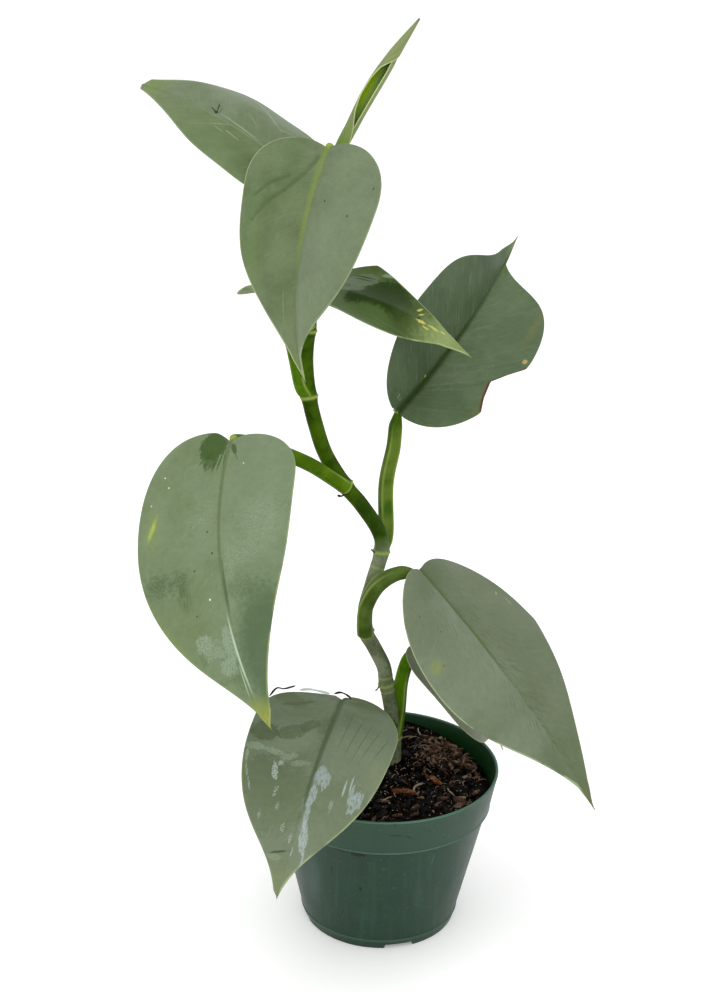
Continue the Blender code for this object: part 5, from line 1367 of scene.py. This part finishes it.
def bezier(start, leave, arrive, end):
    """Points on a cubic curve, without its end."""
    t = np.arange(OUTLINE_STEPS)[:, None] / OUTLINE_STEPS
    return (1 - t) ** 3 * start + 3 * (1 - t) ** 2 * t * leave + 3 * (1 - t) * t ** 2 * arrive + t ** 3 * end


def half_outline(leaf, half):
    """One half's margin from the notch to the tip, as (distance from midrib, along midrib)."""
    back = leaf.lobe_back[half]
    width = leaf.half_width * (1.0, leaf.left_share)[half]
    notch = np.array((0.0, 0.0))
    lobe = np.array((leaf.lobe_out * width, -back))
    broad = np.array((width, leaf.widest[half] * leaf.length))
    shoulder = np.array((leaf.tip_width[half], leaf.length - leaf.tip_length))
    tip = np.array((0.0, leaf.length))
    side = (width - lobe[0], broad[1] + back)
    taper = (width - shoulder[0], shoulder[1] - broad[1])
    leave_notch = (NOTCH_HANDLE[0] * width, -NOTCH_HANDLE[1] * back)
    leave_shoulder = (-POINT_START_HANDLE[0] * shoulder[0], POINT_START_HANDLE[1] * leaf.tip_length)
    reach_tip = (POINT_END_HANDLE[0] * shoulder[0], -POINT_END_HANDLE[1] * leaf.tip_length)
    margin = np.vstack((
        bezier(notch, notch + leave_notch, lobe - (LOBE_HANDLE * lobe[0], 0), lobe),
        bezier(lobe, lobe + (SIDE_HANDLE[0] * side[0], 0), broad - (0, SIDE_HANDLE[1] * side[1]), broad),
        bezier(broad, broad + (0, leaf.fullness[half] * taper[1]),
               shoulder + (TAPER_HANDLE[0] * taper[0], -TAPER_HANDLE[1] * taper[1]), shoulder),
        bezier(shoulder, shoulder + leave_shoulder, tip + reach_tip, tip), tip,
    ))
    if leaf.bite and half == 0:
        places, reaches = zip(*leaf.bite)
        torn = (margin[:, 1] > places[0]) & (margin[:, 1] < places[-1])
        allowed = np.interp(margin[:, 1], places, reaches)
        margin[:, 0] = np.where(torn, np.minimum(margin[:, 0], allowed), margin[:, 0])
    return margin


def turned(vector, axis, angle):
    """The vector turned about a unit axis."""
    cosine, sine = math.cos(angle), math.sin(angle)
    return vector * cosine + np.cross(axis, vector) * sine + axis * (axis @ vector) * (1 - cosine)


def midrib_frames(leaf, steps=40):
    """Places, directions and upper normals along the midrib, which arches, bends sideways and twists."""
    heading, pitch, roll = (math.radians(angle) for angle in (leaf.heading, leaf.pitch, leaf.roll))
    level = math.cos(pitch)
    forward = np.array((math.cos(heading) * level, math.sin(heading) * level, math.sin(pitch)))
    normal = turned(unit(np.array((0.0, 0.0, 1.0)) - forward[2] * forward), forward, roll)
    place = np.array(leaf.base, float)
    frames = [(place, forward, normal)]
    for _ in range(steps):
        side = np.cross(forward, normal)
        arched = turned(forward, side, -math.radians(leaf.arch) / steps)
        normal = turned(normal, side, -math.radians(leaf.arch) / steps)
        arched = turned(arched, normal, math.radians(leaf.sickle) / steps)
        normal = turned(normal, arched, math.radians(leaf.twist) / steps)
        place = place + leaf.length / steps * (forward + arched) / 2
        forward = unit(arched)
        normal = unit(normal - forward * (normal @ forward))
        frames.append((place, forward, normal))
    return [np.array(rows) for rows in zip(*frames)]


def on_blade(leaf, frames, across, along):
    """Points of the blade's middle surface from their places on the flat outline."""
    stops = np.linspace(0, leaf.length, len(frames[0]))
    clipped = np.clip(along, 0.0, leaf.length)
    place, forward, normal = (read_between(clipped, stops, rows) for rows in frames)
    place = place + forward * np.minimum(along, 0.0)[..., None]
    side = np.cross(forward, normal)
    bend = np.radians(np.where(across > 0, leaf.curl[0], leaf.curl[1]).astype(float))
    bend = np.where(np.abs(bend) > 0.001, bend, 0.001)
    fold = math.radians(leaf.fold)
    share = np.abs(across) / leaf.half_width
    out = leaf.half_width * (np.sin(fold + bend * share) - math.sin(fold)) / bend
    rise = -leaf.half_width * (np.cos(fold + bend * share) - math.cos(fold)) / bend
    return place + (np.sign(across) * out)[..., None] * side + rise[..., None] * normal


print("first leaf's tip lies at", midrib_frames(LEAVES[0])[0][-1].round(1), "mm")

# %% [markdown]
# Relief. Upper and lower faces are two offsets of one middle surface. Between its veins the blade puffs
# up slightly, its margin waves a little, the midrib is a groove above and a ridge below, the edge is
# thinner than the middle, and a fold is a shallow trough along a route drawn on the plan.

# %% Blade mesh
BLADE_ROWS, BLADE_COLUMNS = 170, 34
BLADE_THICKNESS = 0.62
VEIN_SLOPE, VEIN_BOW = 2.0, 1.25  # how the side veins leave the midrib and how they bow out
MIDRIB_RIDGE = (1.5, 0.45)  # its height below the blade, at the stalk and near the tip
MIDRIB_GROOVE = 0.45
PUFF, WAVE = 0.16, 0.35  # heights between the side veins and at the margin, mm
PUFF_COUNT, PUFF_LEAN, WAVE_COUNT = 9, 0.3, 3.3  # how many along the blade, and how far puffs lean outward


def blade_grid(leaf):
    """The flat plan as a grid: places across and along, share from midrib to margin, and vein share."""
    vein = np.arange(BLADE_ROWS + 1) / BLADE_ROWS
    midrib_points = (leaf.length * vein ** VEIN_SLOPE)[:, None]
    share = np.arange(BLADE_COLUMNS + 1) / BLADE_COLUMNS
    halves = []
    for half, sign in ((0, 1), (1, -1)):
        margin = half_outline(leaf, half)
        reach = distances(margin)
        edge = read_between(np.linspace(0, reach[-1], BLADE_ROWS + 1), reach, margin)
        across = sign * edge[:, :1] * share
        along = midrib_points + (edge[:, 1:] - midrib_points) * share ** VEIN_BOW
        halves.append((across, along, np.broadcast_to(share, across.shape)))
    joined = [np.concatenate((right[:, :0:-1], left), axis=1) for right, left in zip(*halves)]
    return (*joined, np.broadcast_to(vein[:, None], joined[0].shape))


def crease_share(leaf, across, along):
    """How deep each point lies in the leaf's folds: the depth in mm, and a share from 0 to 1 for the painted
    shade in the folds.
    """
    depth, shade_share = np.zeros_like(across), np.zeros_like(across)
    for route, half_width, most in leaf.creases:
        for (x0, y0), (x1, y1) in zip(route, route[1:]):
            dx, dy = x1 - x0, y1 - y0
            t = np.clip(((across - x0) * dx + (along - y0) * dy) / (dx * dx + dy * dy), 0, 1)
            away = np.hypot(across - x0 - t * dx, along - y0 - t * dy) / half_width
            share = np.exp(-away ** 2)
            depth = np.maximum(depth, most * share)
            shade_share = np.maximum(shade_share, share)
    return depth, shade_share


def blade_piece(leaf, surface):
    """The fine blade, closed all round, with the numbers that its material reads."""
    across, along, share, vein = blade_grid(leaf)
    frames = midrib_frames(leaf)
    middle = on_blade(leaf, frames, across, along)
    normals = np.cross(np.gradient(middle, axis=0), np.gradient(middle, axis=1))
    length = np.linalg.norm(normals, axis=-1, keepdims=True)
    stops = np.linspace(0, leaf.length, len(frames[0]))
    inside = np.clip(along, 0, leaf.length)
    upper = read_between(inside, stops, frames[2])
    normals = np.where(length > 1e-6, normals / np.maximum(length, 1e-6), upper)
    normals *= np.where((normals * upper).sum(axis=-1, keepdims=True) < 0, -1, 1)
    phase = sum(map(ord, leaf.name))
    calm = np.sin(math.pi * vein) ** 0.5
    puffs = np.sin(2 * math.pi * (PUFF_COUNT * vein + PUFF_LEAN * share) + np.sign(across) + phase)
    puffs *= PUFF * 4 * share * (1 - share)
    waves = WAVE * share ** 3 * np.sin(2 * math.pi * WAVE_COUNT * vein + 1.7 * np.sign(across) + phase)
    fold_depth, fold_shade_share = crease_share(leaf, across, along)
    middle = middle + normals * ((puffs + waves) * calm - fold_depth)[..., None]
    near, along_share = np.abs(across), inside / leaf.length
    ridge = (MIDRIB_RIDGE[0] + (MIDRIB_RIDGE[1] - MIDRIB_RIDGE[0]) * along_share) * (1 - along_share ** 6)
    below = ridge * 1.6 * np.exp(-(near / (0.75 * ridge + 0.15)) ** 2)
    groove = MIDRIB_GROOVE * (1 - 0.7 * along_share) * np.exp(-(near / (0.9 * ridge + 0.1)) ** 2)
    thick = BLADE_THICKNESS * (1 - 0.55 * share ** 10) / 2
    points = np.vstack((
        (middle + normals * (thick - groove)[..., None]).reshape(-1, 3),
        (middle - normals * (thick + below)[..., None]).reshape(-1, 3),
    ))
    values = {
        "across_mm": across, "along_mm": along, "side_share": share, "vein_share": vein,
        "crease": fold_shade_share, "margin_mm": near * (1 - share) / np.maximum(share, 1 / BLADE_COLUMNS),
    }
    values = {label: np.tile(numbers.reshape(-1), 2) for label, numbers in values.items()}
    values["upper"] = np.repeat((1.0, 0.0), across.size)
    return make_piece(leaf.name + "_blade", points, sheet_faces(*across.shape), surface, values, 75)


print("each blade has about", 4 * BLADE_ROWS * BLADE_COLUMNS, "faces")

# %% [markdown]
# The leaf's skin. A philodendron leaf is covered in a thin wax. On this silver kind the wax scatters
# light and lays a grey bloom over the green, so it looks matt. Where water has spread, the bloom goes dark
# and glossy. The material works from the inside out: the greens of the two halves with cloudy blotches,
# fine wrinkles drawn as dark lines of painted shade, lines along the side veins, painted shade in the
# folds, this leaf's marks, some of them painted reflections on wet patches, the midrib, the tip, the pale
# line of the margin, and a fine mottling of 3 mm and 0.5 mm grains. The IOR of leaf wax is about 1.4.

# %% Leaf material
VEINS = 17  # side veins in each half
WRINKLE_LEAN = 27.0  # degrees that the fine wrinkles lean off the midrib
UNDER_GREENS = ("#62764A", "#71825C")
WET_ROUGHNESS = 0.16


def leaf_skin(leaf):
    """The waxy skin of one leaf, upper and lower face, with its own marks."""
    made, tree, shader = new_material(
        "waxed_" + leaf.name, IOR=1.4, Specular_IOR_Level=leaf.gloss,
        Sheen_Weight=leaf.bloom, Sheen_Roughness=0.4,
    )
    across, along, side, vein, to_margin, upper, crease = (
        add(tree, "Attribute", output="Fac", attribute_name=label)
        for label in ("across_mm", "along_mm", "side_share", "vein_share", "margin_mm", "upper", "crease")
    )
    plan = add(tree, "CombineXYZ", {"X": across, "Y": along})
    own_shift = (leaf.length, leaf.half_width, leaf.heading)  # so that no two leaves share their clouds
    shifted = add(tree, "VectorMath", {0: plan, 1: own_shift}, operation="ADD")
    clouds = add(tree, "TexNoise", {"Vector": shifted, "Scale": 0.055, "Detail": 4.0, "Roughness": 0.55})
    mottle = add(tree, "TexNoise", {"Vector": shifted, "Scale": 0.35, "Detail": 5.0, "Roughness": 0.65})
    grain = add(tree, "TexNoise", {"Vector": shifted, "Scale": 2.0, "Detail": 3.0, "Roughness": 0.7})
    half = add(tree, "Math", {0: across}, operation="SIGN")
    off_midrib = add(tree, "Math", {0: across}, operation="ABSOLUTE")
    fan = add(tree, "CombineXYZ", {"X": side, "Y": vein, "Z": half})
    fanned = add(tree, "Mapping", {"Vector": fan, "Scale": (2.4, 120.0, 7.0)})
    lines = add(tree, "TexNoise", {"Vector": fanned, "Scale": 1.0, "Detail": 4.0, "Roughness": 0.6})
    wander = add(tree, "Math", {0: clouds, 1: 0.5}, operation="MULTIPLY")
    wave = add(tree, "Math", {0: vein, 1: float(VEINS), 2: wander}, operation="MULTIPLY_ADD")
    vein_wave = add(tree, "Math", {0: wave, 1: 0.5}, operation="PINGPONG")
    vein_line = add(tree, "MapRange", {0: vein_wave, LOW: 0.10, HIGH: 0.0}, **SMOOTH)
    reaching = add(tree, "MapRange", {0: side, LOW: 0.95, HIGH: 0.5}, **SMOOTH)
    vein_line = add(tree, "Math", {0: vein_line, 1: reaching}, operation="MULTIPLY")
    mirrored = add(tree, "CombineXYZ", {"X": off_midrib, "Y": along, "Z": half})
    lean = math.radians(WRINKLE_LEAN)
    leant = add(tree, "VectorRotate", {"Vector": mirrored, "Angle": lean}, rotation_type="Z_AXIS")
    leant = add(tree, "Mapping", {"Vector": leant, "Scale": (1.5, 0.11, 7.0)})
    wrinkles = add(tree, "TexNoise", {"Vector": leant, "Scale": 1.0, "Detail": 4.0, "Roughness": 0.6})
    near_midrib = add(tree, "MapRange", {0: side, LOW: 0.8, HIGH: 0.05, MOST: leaf.wrinkles}, **SMOOTH)
    wrinkle_shade = add(tree, "MapRange", {0: wrinkles, LOW: 0.5, HIGH: 0.64}, **SMOOTH)

    cloudy = add(tree, "MapRange", {0: clouds, LOW: 0.35, HIGH: 0.65}, **SMOOTH)
    right, left = (
        add(tree, "Mix", {0: cloudy, BELOW: dark, ABOVE: light}, **COLOURS)
        for dark, light in (leaf.right, leaf.left)
    )
    on_left = add(tree, "MapRange", {0: across, LOW: 1.2, HIGH: -1.2}, **SMOOTH)
    face = add(tree, "Mix", {0: on_left, BELOW: right, ABOVE: left}, **COLOURS)
    for share, colour in (
        # fine wrinkles beside the midrib drawn as dark lines: painted shade
        (add(tree, "Math", {0: wrinkle_shade, 1: near_midrib}, operation="MULTIPLY"), "#33441F"),
        (add(tree, "MapRange", {0: lines, LOW: 0.48, HIGH: 0.32, MOST: leaf.streaks}, **SMOOTH), "#7C8A6C"),
        (add(tree, "MapRange", {0: vein_line, MOST: leaf.veins[1]}), leaf.veins[0]),
        # the folds darkened along their troughs: painted shade
        (add(tree, "MapRange", {0: crease, LOW: 0.25, HIGH: 1.0, MOST: 0.6}, **SMOOTH), "#3C5226"),
    ):
        face = add(tree, "Mix", {0: share, BELOW: face, ABOVE: colour}, **COLOURS)
    face, wetness = lay_marks(tree, plan, leaf.marks, face)

    colour, half_width, reach = leaf.midrib
    narrowing, gone = -0.8 * half_width / leaf.length, leaf.length * reach
    width = add(tree, "Math", {0: along, 1: narrowing, 2: half_width}, operation="MULTIPLY_ADD")
    off_line = add(tree, "Math", {0: off_midrib, 1: width}, operation="DIVIDE")
    on_line = add(tree, "MapRange", {0: off_line, LOW: 1.6, HIGH: 0.2}, **SMOOTH)
    shown = add(tree, "MapRange", {0: along, LOW: gone, HIGH: gone * 0.5, MOST: 0.8}, **SMOOTH)
    to_tip = add(tree, "Math", {0: leaf.length, 1: along}, operation="SUBTRACT")
    for share, paint in (
        (add(tree, "Math", {0: on_line, 1: shown}, operation="MULTIPLY"), colour),
        (add(tree, "MapRange", {0: to_tip, LOW: 18.0, HIGH: 4.0, MOST: 0.7}, **SMOOTH), leaf.tip),
        (add(tree, "MapRange", {0: to_tip, LOW: 1.4, HIGH: 0.5, MOST: leaf.dry_end}, **SMOOTH), "#33290F"),
    ):
        face = add(tree, "Mix", {0: share, BELOW: face, ABOVE: paint}, **COLOURS)

    dark, light = UNDER_GREENS
    under = add(tree, "Mix", {0: cloudy, BELOW: dark, ABOVE: light}, **COLOURS)
    under_veins = add(tree, "MapRange", {0: vein_line, MOST: 0.4})
    for share, paint in ((under_veins, "#84946A"), (on_line, "#71843E")):
        under = add(tree, "Mix", {0: share, BELOW: under, ABOVE: paint}, **COLOURS)
    face = add(tree, "Mix", {0: upper, BELOW: under, ABOVE: face}, **COLOURS)

    paint, on_right_side, on_left_side = leaf.margin
    shows = add(tree, "MapRange", {0: on_left, 3: on_right_side, MOST: on_left_side})
    breaks = add(tree, "MapRange", {0: clouds, LOW: 0.35, HIGH: 0.5}, **SMOOTH)
    edge = add(tree, "MapRange", {0: to_margin, LOW: 0.55, HIGH: 0.2}, **SMOOTH)
    for factor in (shows, breaks, add(tree, "MapRange", {0: to_tip, LOW: 1.0, HIGH: 4.0}, **SMOOTH)):
        edge = add(tree, "Math", {0: edge, 1: factor}, operation="MULTIPLY")
    face = add(tree, "Mix", {0: edge, BELOW: face, ABOVE: paint}, **COLOURS)
    if leaf.bite:
        face = dead_edge(tree, leaf, across, along, to_margin, face)
    uneven = add(tree, "Math", {0: mottle, 1: 0.36, 2: 0.72}, operation="MULTIPLY_ADD")
    uneven = add(tree, "Math", {0: grain, 1: 0.20, 2: uneven}, operation="MULTIPLY_ADD")
    face = add(tree, "VectorMath", {0: face, "Scale": uneven}, operation="SCALE")

    matt = add(tree, "Math", {0: mottle, 1: 0.10, 2: 0.44}, operation="MULTIPLY_ADD")
    roughness = add(tree, "Mix", {0: wetness, 2: matt, 3: WET_ROUGHNESS})
    sunk = add(tree, "Math", {0: vein_line, 1: -0.3}, operation="MULTIPLY")
    relief = add(tree, "Math", {0: lines, 1: leaf.wrinkles, 2: sunk}, operation="MULTIPLY_ADD")
    ribbed = add(tree, "Bump", {"Height": relief, "Strength": 0.35, "Distance": 0.0004})
    grained = add(tree, "Bump", {"Height": grain, "Strength": 0.06, "Distance": 0.0002, "Normal": ribbed})
    finish(tree, shader, Base_Color=face, Roughness=roughness, Normal=grained)
    return made


def dead_edge(tree, leaf, across, along, to_margin, face):
    """Brown dead tissue along the torn part of the margin."""
    first, last = leaf.bite[0][0], leaf.bite[-1][0]
    plan = add(tree, "CombineXYZ", {"X": across, "Y": along})
    crumbled = add(tree, "TexNoise", {"Vector": plan, "Scale": 0.9, "Detail": 5.0, "Roughness": 0.7})
    to_margin = add(tree, "Math", {0: crumbled, 1: -3.0, 2: to_margin}, operation="MULTIPLY_ADD")
    inside = 1.0
    for reading, low, high in (
        (along, first - 1, first + 1), (along, last + 1, last - 1),
        (across, 20.0, 24.0), (to_margin, -0.3, -0.8),
    ):
        share = add(tree, "MapRange", {0: reading, LOW: low, HIGH: high}, **SMOOTH)
        inside = add(tree, "Math", {0: inside, 1: share}, operation="MULTIPLY")
    mottled = add(tree, "MapRange", {0: crumbled, LOW: 0.42, HIGH: 0.6})
    brown = add(tree, "Mix", {0: mottled, BELOW: "#2E1A10", ABOVE: "#6E4026"}, **COLOURS)
    return add(tree, "Mix", {0: inside, BELOW: face, ABOVE: brown}, **COLOURS)


# %% Blades
for leaf in LEAVES:
    settle(blade_piece(leaf, leaf_skin(leaf)), leaf.name)

# %% [markdown]
# The stalks. A philodendron's stalk is round below and has a shallow channel above. Low down, two thin
# wings stand on the channel's edges, the rest of the sheath that once wrapped the next leaf. At the top
# it narrows, bends under the blade and ends in a small knuckle in the notch. The channel faces the same
# way as the blade's upper face, carried down along the stalk.

# %% Stalks
STALK_SIDES, STALK_SPACING = 40, 0.6
STALK_RADII = (3.5, 3.15)
NECK_SHARE = 0.52  # the radius of the narrow part below the blade, as a share
END_ROUND, END_LENGTH = 0.97, 0.032  # where the knuckle's rounding starts and its length, as shares
CHANNEL_DEPTH, CHANNEL_WIDTH = 0.22, 0.42  # a share of the radius, and radians
WING_PLACE, WING_WIDTH, WING_EDGE = 0.75, 0.17, 0.1  # radians from the channel's middle


def stalk_piece(leaf, surface):
    """One leaf's stalk, from the ring on the stem to the knuckle in the notch."""
    places, directions, normals = midrib_frames(leaf)
    join = places[0] + normals[0] * leaf.knuckle[0] + directions[0] * leaf.knuckle[1]
    route, travelled = even_route([*leaf.stalk, join], STALK_SPACING)
    share = travelled / travelled[-1]
    radius = STALK_RADII[0] + (STALK_RADII[1] - STALK_RADII[0]) * share
    neck = np.clip(1 - (travelled[-1] - travelled) / leaf.neck, 0, 1)
    radius *= 1 - (1 - NECK_SHARE) * neck ** 2 * (3 - 2 * neck)
    closing = np.clip((share - END_ROUND) / END_LENGTH, 0, 1)
    radius *= np.sqrt(np.clip(1 - closing ** 2, 0.02, 1))
    turn = all_round(STALK_SIDES)
    off = np.minimum(turn, 2 * math.pi - turn)
    channel = bump(off, CHANNEL_DEPTH, CHANNEL_WIDTH) * np.clip(share[:, None] / 0.1, 0, 1)
    wing = bump(off - WING_PLACE, 1.0, WING_WIDTH)
    wing_height, wing_reach = leaf.sheath
    winged = np.clip((wing_reach - share) / 0.2, 0, 1) * np.clip(share / 0.06, 0, 1)
    reach = radius[:, None] * (1 - channel) + wing_height * winged[:, None] * wing
    rings = sweep(route[::-1], reach[::-1], normals[0])[::-1]
    wing_edge = winged[:, None] * bump(off - WING_PLACE, 0.9, WING_EDGE)
    ends = 0.6 * (share < 0.012) + 0.85 * (share > 0.965)
    return closed_tube(leaf.name + "_stalk", rings, surface, {
        "age": np.zeros((1, 1)), "along_mm": travelled[:, None], "around": (off / (2 * math.pi))[None, :],
        "ring": wing_edge + ends[:, None],
    })


for leaf in LEAVES:
    skin = plant_skin("stalk_of_" + leaf.name, *leaf.green)
    settle(stalk_piece(leaf, skin), leaf.name)

# %% [markdown]
# The youngest leaf is still rolled up like a paper cone. One sheet starts at a free margin in front, goes
# round the left, the back and the right side, and ends inside. Where the free margin has drawn back, the
# bright inside shows. So the piece is a sheet whose two edges are given as angles along its length.

# %% Rolled leaf
NEW_LEAF_ROUTE = (
    (-35.7, 5.0, 308.0), (-34.8, 7.2, 320.0), (-30.5, 7.8, 338.0), (-25.5, 8.0, 356.0),
    (-20.1, 10.0, 367.7), (-13.4, 13.0, 380.5), (-3.7, 18.0, 395.7), (6.2, 22.0, 409.5),
)
ROLL_HEIGHTS = (300, 355, 361, 366, 372, 378, 384, 389, 396, 403, 410)
ROLL_RADII = (2.2, 2.9, 2.8, 2.7, 2.9, 3.2, 3.2, 3.0, 2.4, 1.4, 0.3)
# the margins' angles at those heights, in degrees from the right, seen from above
FREE_MARGIN = (-20, -15, -30, -64, -121, -155, -150, -115, -5, 20, 30)
INNER_MARGIN = (-50, -58, -62, -62, -58, -54, -52, -52, -60, -60, -60)
ROLL_COLUMNS, ROLL_SPACING = 64, 0.8
LAP_START, LAP_TURN, LAP_INSET = 290, 60, 0.2  # degrees round, and how far in it goes as a share
SHEET_THICKNESS = (0.4, 0.35)  # at most, in mm and as a share of the radius


def rolled_sheet(surface):
    """The rolled leaf as a thin sheet with an outer and an inner face, drawn in where it overlaps."""
    route, travelled = even_route(NEW_LEAF_ROUTE, ROLL_SPACING)
    radius = np.interp(route[:, 2], ROLL_HEIGHTS, ROLL_RADII)
    start = np.radians(np.interp(route[:, 2], ROLL_HEIGHTS, FREE_MARGIN)) + 2 * math.pi
    end = np.radians(np.interp(route[:, 2], ROLL_HEIGHTS, INNER_MARGIN))
    tangents = unit(np.gradient(route, axis=0))
    share = np.linspace(0, 1, ROLL_COLUMNS)
    rows = []
    for centre, forward, r, first, last in zip(route, tangents, radius, start, end):
        side = unit(np.array((1.0, 0.0, 0.0)) - forward * forward[0])
        away = np.cross(forward, side)
        angle = first + (last - first) * share
        lapped = np.clip((first - angle - math.radians(LAP_START)) / math.radians(LAP_TURN), 0, 1)
        reach = (r * (1.0 - LAP_INSET * lapped))[:, None]
        rows.append(centre + reach * (np.cos(angle)[:, None] * side + np.sin(angle)[:, None] * away))
    outer = np.array(rows)
    thickness = np.minimum(SHEET_THICKNESS[0], SHEET_THICKNESS[1] * radius)
    inner = outer + unit(route[:, None, :] - outer) * thickness[:, None, None]
    count, columns = outer.shape[:2]
    total = count * columns
    ends = [row * columns + column for row in (0, count - 1) for column in range(columns - 1)]
    faces = sheet_faces(count, columns) + [(here, here + 1, here + 1 + total, here + total) for here in ends]
    margin = np.minimum(share, 1 - share)[None, :] * np.abs(end - start)[:, None] * radius[:, None]
    values = {
        "inner": np.repeat((0.0, 1.0), total), "margin_mm": np.tile(margin.reshape(-1), 2),
        "along_mm": np.tile(np.repeat(travelled, columns), 2), "around": np.tile(np.tile(share, count), 2),
    }
    points = np.vstack((outer.reshape(-1, 3), inner.reshape(-1, 3)))
    return make_piece("leaf_new_rolled_sheet", points, faces, surface, values, smooth_angle=75)


# %% [markdown]
# Its skin hasn't grown its bloom yet: pale yellow-green outside, a saturated green inside, painted
# brighter as painted light where light comes through the sheet and darker further round the roll as
# painted shade, and a fine cream margin. The tip dries to a grey point.

# %% Rolled leaf's material
young_skin, tree, shader = new_material("tender_young_leaf", Roughness=0.4, IOR=1.4, Specular_IOR_Level=0.4)
inner, to_margin, along, around = (
    add(tree, "Attribute", output="Fac", attribute_name=label)
    for label in ("inner", "margin_mm", "along_mm", "around")
)
rolled_plan = add(tree, "CombineXYZ", {"X": around, "Y": along})
drawn_out = add(tree, "Mapping", {"Vector": rolled_plan, "Scale": (60.0, 0.1, 1.0)})
streaks = add(tree, "TexNoise", {"Vector": drawn_out, "Scale": 1.0, "Detail": 3.0})
streaky = add(tree, "MapRange", {0: streaks, LOW: 0.35, HIGH: 0.7}, **SMOOTH)
outside = add(tree, "Mix", {0: streaky, BELOW: "#67743F", ABOVE: "#7C8857"}, **COLOURS)
lower = add(tree, "MapRange", {0: along, LOW: 66.0, HIGH: 48.0}, **SMOOTH)
outside = add(tree, "Mix", {0: lower, BELOW: outside, ABOVE: "#5F7C22"}, **COLOURS)
# painted light and shade inside the roll: bright green near the free margin where light comes through,
# darker further round
shaded = add(tree, "MapRange", {0: around, LOW: 0.25, HIGH: 0.6}, **SMOOTH)
inside = add(tree, "Mix", {0: shaded, BELOW: "#8CAA0A", ABOVE: "#5E7A28"}, **COLOURS)
colour = add(tree, "Mix", {0: inner, BELOW: outside, ABOVE: inside}, **COLOURS)
for share, paint in (
    (add(tree, "MapRange", {0: to_margin, LOW: 0.5, HIGH: 0.15, MOST: 0.85}, **SMOOTH), "#B4BF8A"),
    (add(tree, "MapRange", {0: along, LOW: 110.0, HIGH: 115.0, MOST: 0.9}, **SMOOTH), "#3E4436"),
):
    colour = add(tree, "Mix", {0: share, BELOW: colour, ABOVE: paint}, **COLOURS)
ribs = add(tree, "Bump", {"Height": streaks, "Strength": 0.3, "Distance": 0.0003})
finish(tree, shader, Base_Color=colour, Normal=ribs)
settle(rolled_sheet(young_skin), "leaf_new_rolled")

# %% [markdown]
# Dead bits cling to the plant: two thin black twigs and a bleached scrap of an old sheath lie along the
# back edge of the lowest leaf, and three small black tufts are left at joints of the stem. Dead tissue is
# dry and matt. Each bit is a thin tube along a short bent route.

# %% Dead bits
BIT_SPACING, BIT_SIDES = 0.3, 8
TWIGS = (  # places on the lowest leaf's plan, as across, along and lift in mm, and the thickness
    ("twig_left", ((31.5, 9.5, 0.3), (29.5, 5.0, 2.0), (26.5, 3.0, 1.4), (22.0, 0.0, 2.4)), 0.42),
    ("twig_middle", ((4.6, -2.0, 1.2), (2.0, -2.6, 2.0), (-0.6, -2.4, 1.6), (-3.4, -2.0, 0.3)), 0.45),
    ("scrap_of_sheath", ((20.5, -0.6, 0.3), (16.0, -1.6, 1.3), (11.0, -2.0, 1.2), (6.6, -2.0, 0.9)), 0.55),
)
TUFTS = (  # places in mm from the pot's axis
    ("tuft_upper", ((-19.8, 1.4, 209.6), (-21.6, 0.2, 208.4), (-23.6, -0.4, 208.8)), 0.5),
    ("tuft_middle", ((-6.2, 5.4, 180.0), (-7.4, 4.4, 181.2), (-8.0, 3.6, 182.4)), 0.35),
    ("tuft_lower", ((-2.6, 7.0, 113.2), (-3.4, 6.0, 112.0), (-4.4, 5.4, 111.4)), 0.35),
)


def thin_bit(name, route, thickness, surface, node):
    """A thin dry tube along a route, narrowing to both ends."""
    centres, travelled = even_route(route, BIT_SPACING)
    share = travelled / travelled[-1]
    narrowing = np.sqrt(np.clip(1 - (2 * share - 1) ** 4, 0, 1))
    reach = thickness * (0.25 + narrowing * (0.75 + 0.25 * np.sin(9 * share)))
    rings = sweep(centres, np.repeat(reach[:, None], BIT_SIDES, axis=1), (0, 0.3, 1))
    settle(closed_tube(name, rings, surface, {}), node)


black_tissue = new_material("dead_black_tissue", Roughness=0.85, Base_Color=linear("#14100D"))[0]
bleached = new_material("bleached_sheath", Roughness=0.6, Base_Color=linear("#C9D2D0"))[0]
lowest = by_name["leaf_lower_front"]
frames = midrib_frames(lowest)
for name, route, thickness in TWIGS:
    across, along, lift = np.array(route).T
    places = on_blade(lowest, frames, across, along) + lift[:, None] * frames[2][0]
    surface = bleached if "scrap" in name else black_tissue
    thin_bit(name, places, thickness, surface, lowest.name)
for name, route, thickness in TUFTS:
    thin_bit(name, route, thickness, black_tissue, "stem")

# %% [markdown]
# Last, the two boxes are compared: how far the dressed plant has grown past the solids' box on each side is
# printed, in mm.

# %% Sizes and finish
new_low, new_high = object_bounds()
changes = zip((*cad_low, *new_high), (*new_low, *cad_high))
print("grown by, in mm:", [round((a - b) / MM, 1) for a, b in changes])
